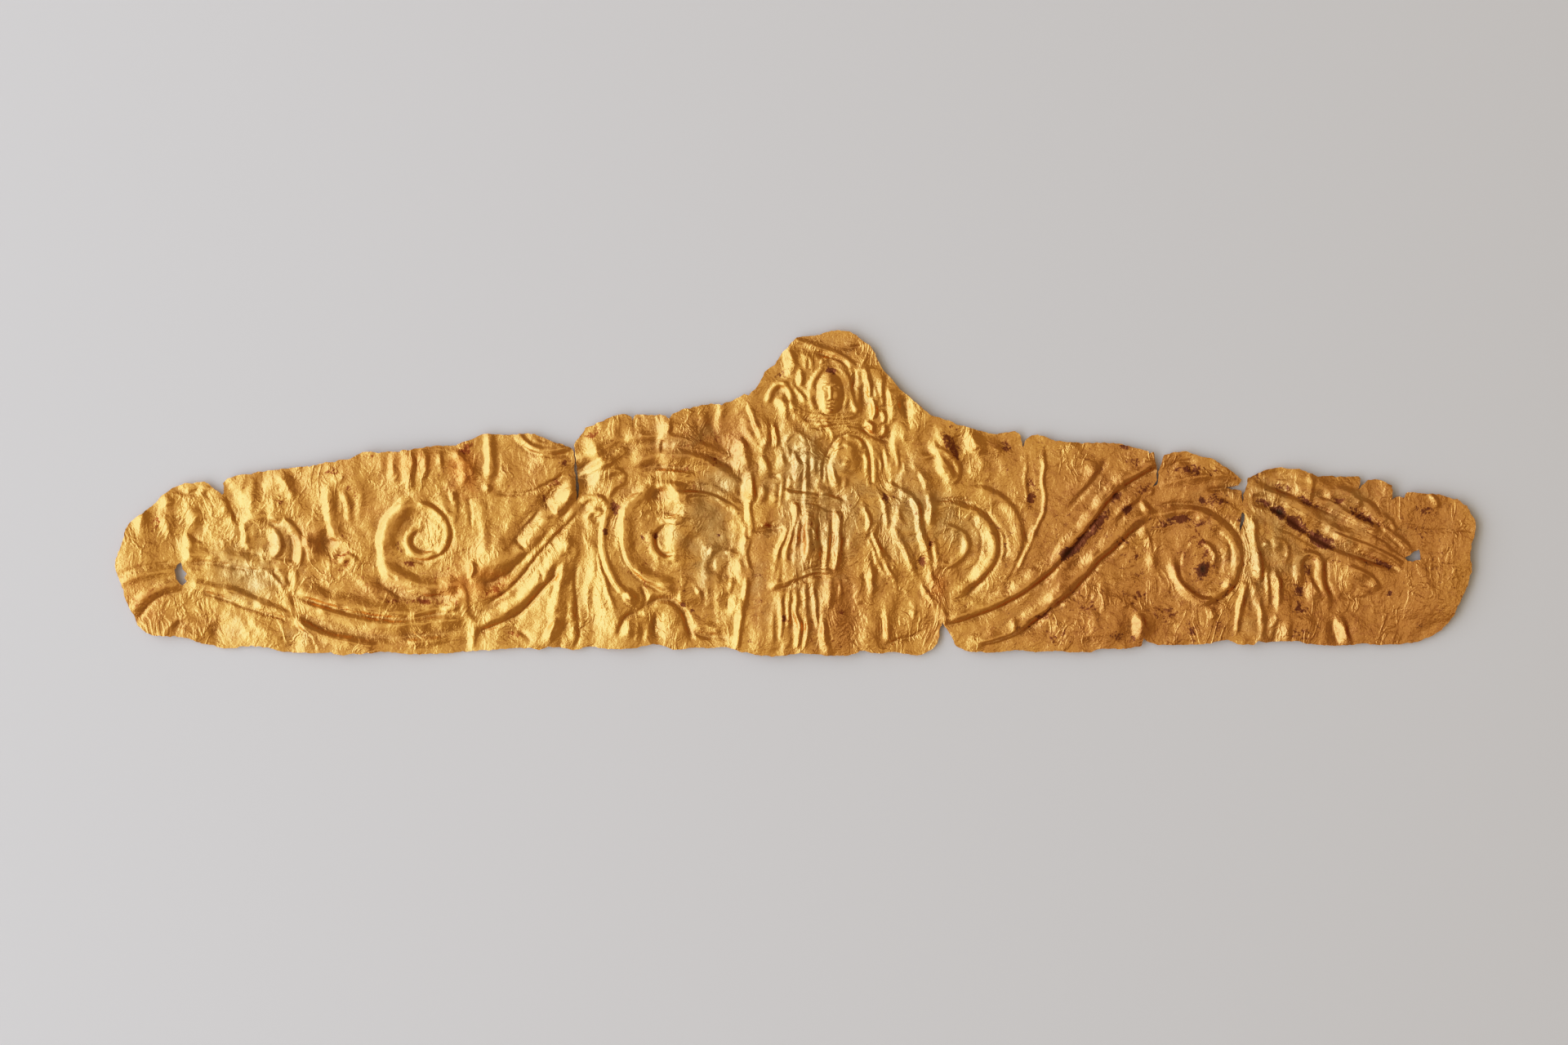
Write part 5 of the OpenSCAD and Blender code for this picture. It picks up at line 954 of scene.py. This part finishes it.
mesh = bpy.data.meshes.new("gold_sheet")
mesh.from_pydata(co.tolist(), [], tris.tolist())
mesh.polygons.foreach_set("use_smooth", np.ones(len(tris), bool))
sharp = np.zeros(len(mesh.edges), bool)
ev = np.empty(len(mesh.edges) * 2, int)
mesh.edges.foreach_get("vertices", ev)
ev = ev.reshape(-1, 2)
rimset = set((min(i, j), max(i, j)) for i, j in rim) | set((min(i, j) + N, max(i, j) + N) for i, j in rim_back)
for k, (i, j) in enumerate(ev.tolist()):
    sharp[k] = (min(i, j), max(i, j)) in rimset
at = mesh.attributes.new("sharp_edge", "BOOLEAN", "EDGE")
at.data.foreach_set("value", sharp)


def point_field(name, field):
    at = mesh.attributes.new(name, "FLOAT", "POINT")
    at.data.foreach_set("value", sample(field, chart[:, 0], chart[:, 1]).astype(np.float32))


point_field("stain", stain)
point_field("redness", redness)
point_field("painted_shade_depth", painted_shade_depth)
point_field("pale_and_painted_light", pale_tint_and_painted_light)
point_field("dull_and_painted_shade", dull_tint_and_painted_shade)
point_field("worn", np.clip(ridge / 3.0, 0, 1))          # the raised work is worn smooth
mesh.update()
sheet = bpy.data.objects.new("gold_sheet", mesh)
bpy.context.scene.collection.objects.link(sheet)
print("sheet: %d points, %d triangles, %.2f mm high" % (len(co), len(tris), co[:, 2].max() * 1000))

# ---------------------------------------------------------------------------
# Gold
# ---------------------------------------------------------------------------
gold = bpy.data.materials.new("old_gold")
gold.use_nodes = True
nt = gold.node_tree
nt.nodes.clear()


def node(kind, **props):
    n = nt.nodes.new(kind)
    for k, v in props.items():
        setattr(n, k, v)
    return n


def link(a, b):
    nt.links.new(a, b)


def tex(scale, detail=4.0, rough=0.55, distort=0.0, stretch=None):
    t = node("ShaderNodeTexNoise")
    t.inputs["Scale"].default_value = scale
    t.inputs["Detail"].default_value = detail
    t.inputs["Roughness"].default_value = rough
    t.inputs["Distortion"].default_value = distort
    if stretch:
        m = node("ShaderNodeMapping")
        m.inputs["Scale"].default_value = stretch
        link(place.outputs["Object"], m.inputs["Vector"])
        link(m.outputs["Vector"], t.inputs["Vector"])
    else:
        link(place.outputs["Object"], t.inputs["Vector"])
    return t.outputs["Fac"]


def ramp(value, lo, hi, a=0.0, b=1.0, smooth=True):
    r = node("ShaderNodeMapRange", interpolation_type="SMOOTHSTEP" if smooth else "LINEAR")
    r.inputs["From Min"].default_value = lo
    r.inputs["From Max"].default_value = hi
    r.inputs["To Min"].default_value = a
    r.inputs["To Max"].default_value = b
    link(value, r.inputs["Value"])
    return r.outputs["Result"]


def calc(op, a, b=None, c=None):
    m = node("ShaderNodeMath", operation=op)
    for k, v in enumerate((a, b, c)):
        if v is None:
            continue
        if isinstance(v, (int, float)):
            m.inputs[k].default_value = v
        else:
            link(v, m.inputs[k])
    return m.outputs[0]


def blend(fac, a, b):
    m = node("ShaderNodeMix", data_type="RGBA")
    link(fac, m.inputs["Factor"])
    for k, v in (("A", a), ("B", b)):
        s = [i for i in m.inputs if i.name == k and i.type == "RGBA"][0]
        if isinstance(v, tuple):
            s.default_value = (*v, 1.0)
        else:
            link(v, s)
    return [o for o in m.outputs if o.type == "RGBA"][0]


place = node("ShaderNodeTexCoord")


def attribute(name):
    return node("ShaderNodeAttribute", attribute_name=name).outputs["Fac"]


s_at, r_at, shade_depth_at = attribute("stain"), attribute("redness"), attribute("painted_shade_depth")
pale_light_at, dull_shade_at, w_at = attribute("pale_and_painted_light"), attribute("dull_and_painted_shade"), attribute("worn")
fine = tex(900, 5, 0.65)
broad = calc("SUBTRACT", tex(34, 4, 0.6, 0.5), 0.5)
medium = calc("SUBTRACT", tex(190, 5, 0.65, 0.6), 0.5)
# base tone: random, and browner where the painted shade (dull) lies
colour = blend(ramp(calc("ADD", dull_shade_at, calc("ADD", calc("MULTIPLY", broad, 1.6), calc("MULTIPLY", medium, 1.6))), -0.3, 1.1),
               (1.0, 0.50, 0.115), (0.80, 0.355, 0.085))
# paler greenish tint: partly the gold's own, partly painted light and reflection
pale_and_painted_light = ramp(calc("ADD", pale_light_at, calc("MULTIPLY", medium, 1.8)), 0.15, 1.1)
colour = blend(calc("MULTIPLY", pale_and_painted_light, 0.8), colour, (0.80, 0.51, 0.20))
warm = ramp(calc("SUBTRACT", calc("MULTIPLY", medium, 1.8), pale_light_at), 0.15, 1.1)
colour = blend(calc("MULTIPLY", warm, 0.7), colour, (0.92, 0.33, 0.050))
# painted shade: hollows and creases darkened towards a deeper gold
painted_hollow_shade = ramp(calc("ADD", shade_depth_at, calc("MULTIPLY", calc("SUBTRACT", fine, 0.5), 0.8)), 0.05, 0.9)
colour = blend(calc("MULTIPLY", painted_hollow_shade, 0.5), colour, (0.50, 0.235, 0.062))
# tarnish mottle, heavier where the painted shade (dull) lies
mottle = calc("MULTIPLY", ramp(tex(460, 7, 0.82, 1.2), 0.50, 0.62), calc("ADD", calc("MULTIPLY", dull_shade_at, 0.34), 0.26))
colour = blend(mottle, colour, (0.52, 0.185, 0.040))
speck = ramp(tex(1500, 3, 0.6), 0.59, 0.68)
speck_mask = ramp(calc("ADD", tex(90, 3, 0.6), calc("MULTIPLY", dull_shade_at, 0.06)), 0.48, 0.66)
speckle = calc("MULTIPLY", calc("MULTIPLY", speck, speck_mask), 0.65)
grain = calc("ADD", calc("MULTIPLY", tex(520, 6, 0.78, 0.8), 0.6), calc("MULTIPLY", tex(1250, 4, 0.75, 0.6), 0.4))
# stains and grain, with painted shade added in the creases
stain_and_crease_shade = calc("ADD", s_at, calc("MULTIPLY", calc("SUBTRACT", grain, 0.5), 4.2))
stain_and_crease_shade = calc("ADD", stain_and_crease_shade, calc("MULTIPLY", shade_depth_at, 0.15))
stain_and_crease_shade = ramp(stain_and_crease_shade, 0.46, 0.74)
stain_and_crease_shade = calc("MINIMUM", calc("ADD", calc("MULTIPLY", stain_and_crease_shade, 0.9), speckle), 1.0)
black = ramp(s_at, 0.95, 1.45)
dark = blend(r_at, (0.175, 0.062, 0.044), (0.44, 0.12, 0.030))
dark = blend(black, dark, (0.050, 0.032, 0.030))
colour = blend(stain_and_crease_shade, colour, dark)

rough = calc("ADD", ramp(tex(420, 4, 0.6), 0.3, 0.7, 0.22, 0.33), calc("MULTIPLY", stain_and_crease_shade, 0.25))
crease = ramp(calc("ABSOLUTE", calc("SUBTRACT", tex(300, 3, 0.55, 1.2, (1.0, 0.55, 1.0)), 0.5)), 0.0, 0.085, 1.0, 0.0)
crease = calc("MULTIPLY", crease, ramp(tex(130, 3, 0.6), 0.44, 0.60))
bump_in = calc("ADD", calc("ADD", calc("MULTIPLY", tex(520, 4, 0.6, 0.4), 0.50), calc("MULTIPLY", crease, 0.34)),
               calc("ADD", calc("MULTIPLY", tex(1700, 3, 0.60, 0.3), 0.58), calc("MULTIPLY", tex(4200, 2, 0.5), 0.16)))
bump_in = calc("MULTIPLY", bump_in, calc("SUBTRACT", 1.0, calc("MULTIPLY", w_at, 0.5)))
bump = node("ShaderNodeBump")
bump.inputs["Strength"].default_value = 0.8
bump.inputs["Distance"].default_value = 0.00022
link(bump_in, bump.inputs["Height"])

bsdf = node("ShaderNodeBsdfPrincipled")
bsdf.inputs["Metallic"].default_value = 1.0
link(colour, bsdf.inputs["Base Color"])
link(rough, bsdf.inputs["Roughness"])
link(calc("MULTIPLY", calc("SUBTRACT", 1.0, stain_and_crease_shade), 0.9), bsdf.inputs["Coat Weight"])
bsdf.inputs["Coat IOR"].default_value = 1.65
bsdf.inputs["Coat Roughness"].default_value = 0.22
link(bump.outputs["Normal"], bsdf.inputs["Coat Normal"])
link(bump.outputs["Normal"], bsdf.inputs["Normal"])
out = node("ShaderNodeOutputMaterial")
link(bsdf.outputs["BSDF"], out.inputs["Surface"])
mesh.materials.append(gold)

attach(sheet, "root")
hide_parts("sheet")

# ---------------------------------------------------------------------------
# Floor, light and camera
# ---------------------------------------------------------------------------
floor_mesh = bpy.data.meshes.new("floor")
floor_mesh.from_pydata([(-3, -3, 0), (3, -3, 0), (3, 3, 0), (-3, 3, 0)], [], [(0, 1, 2, 3)])
floor = bpy.data.objects.new("floor", floor_mesh)
bpy.context.scene.collection.objects.link(floor)
pale_floor = bpy.data.materials.new("pale_floor")
pale_floor.use_nodes = True
fb = pale_floor.node_tree.nodes["Principled BSDF"]
fb.inputs["Base Color"].default_value = (0.82, 0.85, 0.92, 1)
fb.inputs["Roughness"].default_value = 0.9
floor_mesh.materials.append(pale_floor)

scene = bpy.context.scene
scene.view_settings.view_transform = "Standard"
scene.view_settings.use_curve_mapping = True           # a soft shoulder for the highlights and a slight toe
tone = scene.view_settings.curve_mapping
tone.white_level = (3.0, 3.0, 3.0)
tone.clip_max_y = 1.0
shades = tone.curves[3]
for x in (0.02, 0.05, 0.1, 0.18, 0.28, 0.4, 0.55, 0.75, 1.0, 1.3, 1.7, 2.2):
    shades.points.new(x / 3.0, 1 - math.exp(-(x / 0.66) ** 1.3))
tone.update()
world = bpy.data.worlds.new("studio")
world.use_nodes = True
world.node_tree.nodes["Background"].inputs["Color"].default_value = (1.0, 0.77, 0.46, 1)
world.node_tree.nodes["Background"].inputs["Strength"].default_value = 0.27
scene.world = world


def soft_light(name, where, size, power, colour=(1, 1, 1)):
    data = bpy.data.lights.new(name, "AREA")
    data.shape = "RECTANGLE"
    data.size, data.size_y = size
    data.energy = power
    data.color = colour
    ob = bpy.data.objects.new(name, data)
    ob.location = where
    ob.rotation_euler = (-Vector(where)).to_track_quat("-Z", "Y").to_euler()
    scene.collection.objects.link(ob)
    return ob


soft_light("key", (-0.72, 0.0, 0.40), (1.30, 0.75), 4.9, (0.96, 1.0, 1.10))
soft_light("high", (-0.52, 0.0, 0.90), (0.95, 0.50), 1.5, (0.97, 1.0, 1.06))
soft_light("near", (-0.42, -0.62, 0.50), (0.55, 0.60), 0.85, (1.0, 0.99, 0.97))
soft_light("far", (-0.42, 0.62, 0.50), (0.55, 0.60), 0.60, (1.0, 0.99, 0.97))
soft_light("top", (0.10, 0.0, 1.15), (0.8, 0.8), 0.74, (1.0, 0.96, 0.88))

cam_data = bpy.data.cameras.new("camera")
cam_data.sensor_width = 36.0
cam_data.lens = 100.0
cam = bpy.data.objects.new("camera", cam_data)
dist = 1920 * UNIT * 100.0 / 36.0
cam.location = ((960 - MID_X) * UNIT, (MID_Y - 640) * UNIT, dist)
cam.rotation_euler = (0, 0, 0)
scene.collection.objects.link(cam)
scene.camera = cam
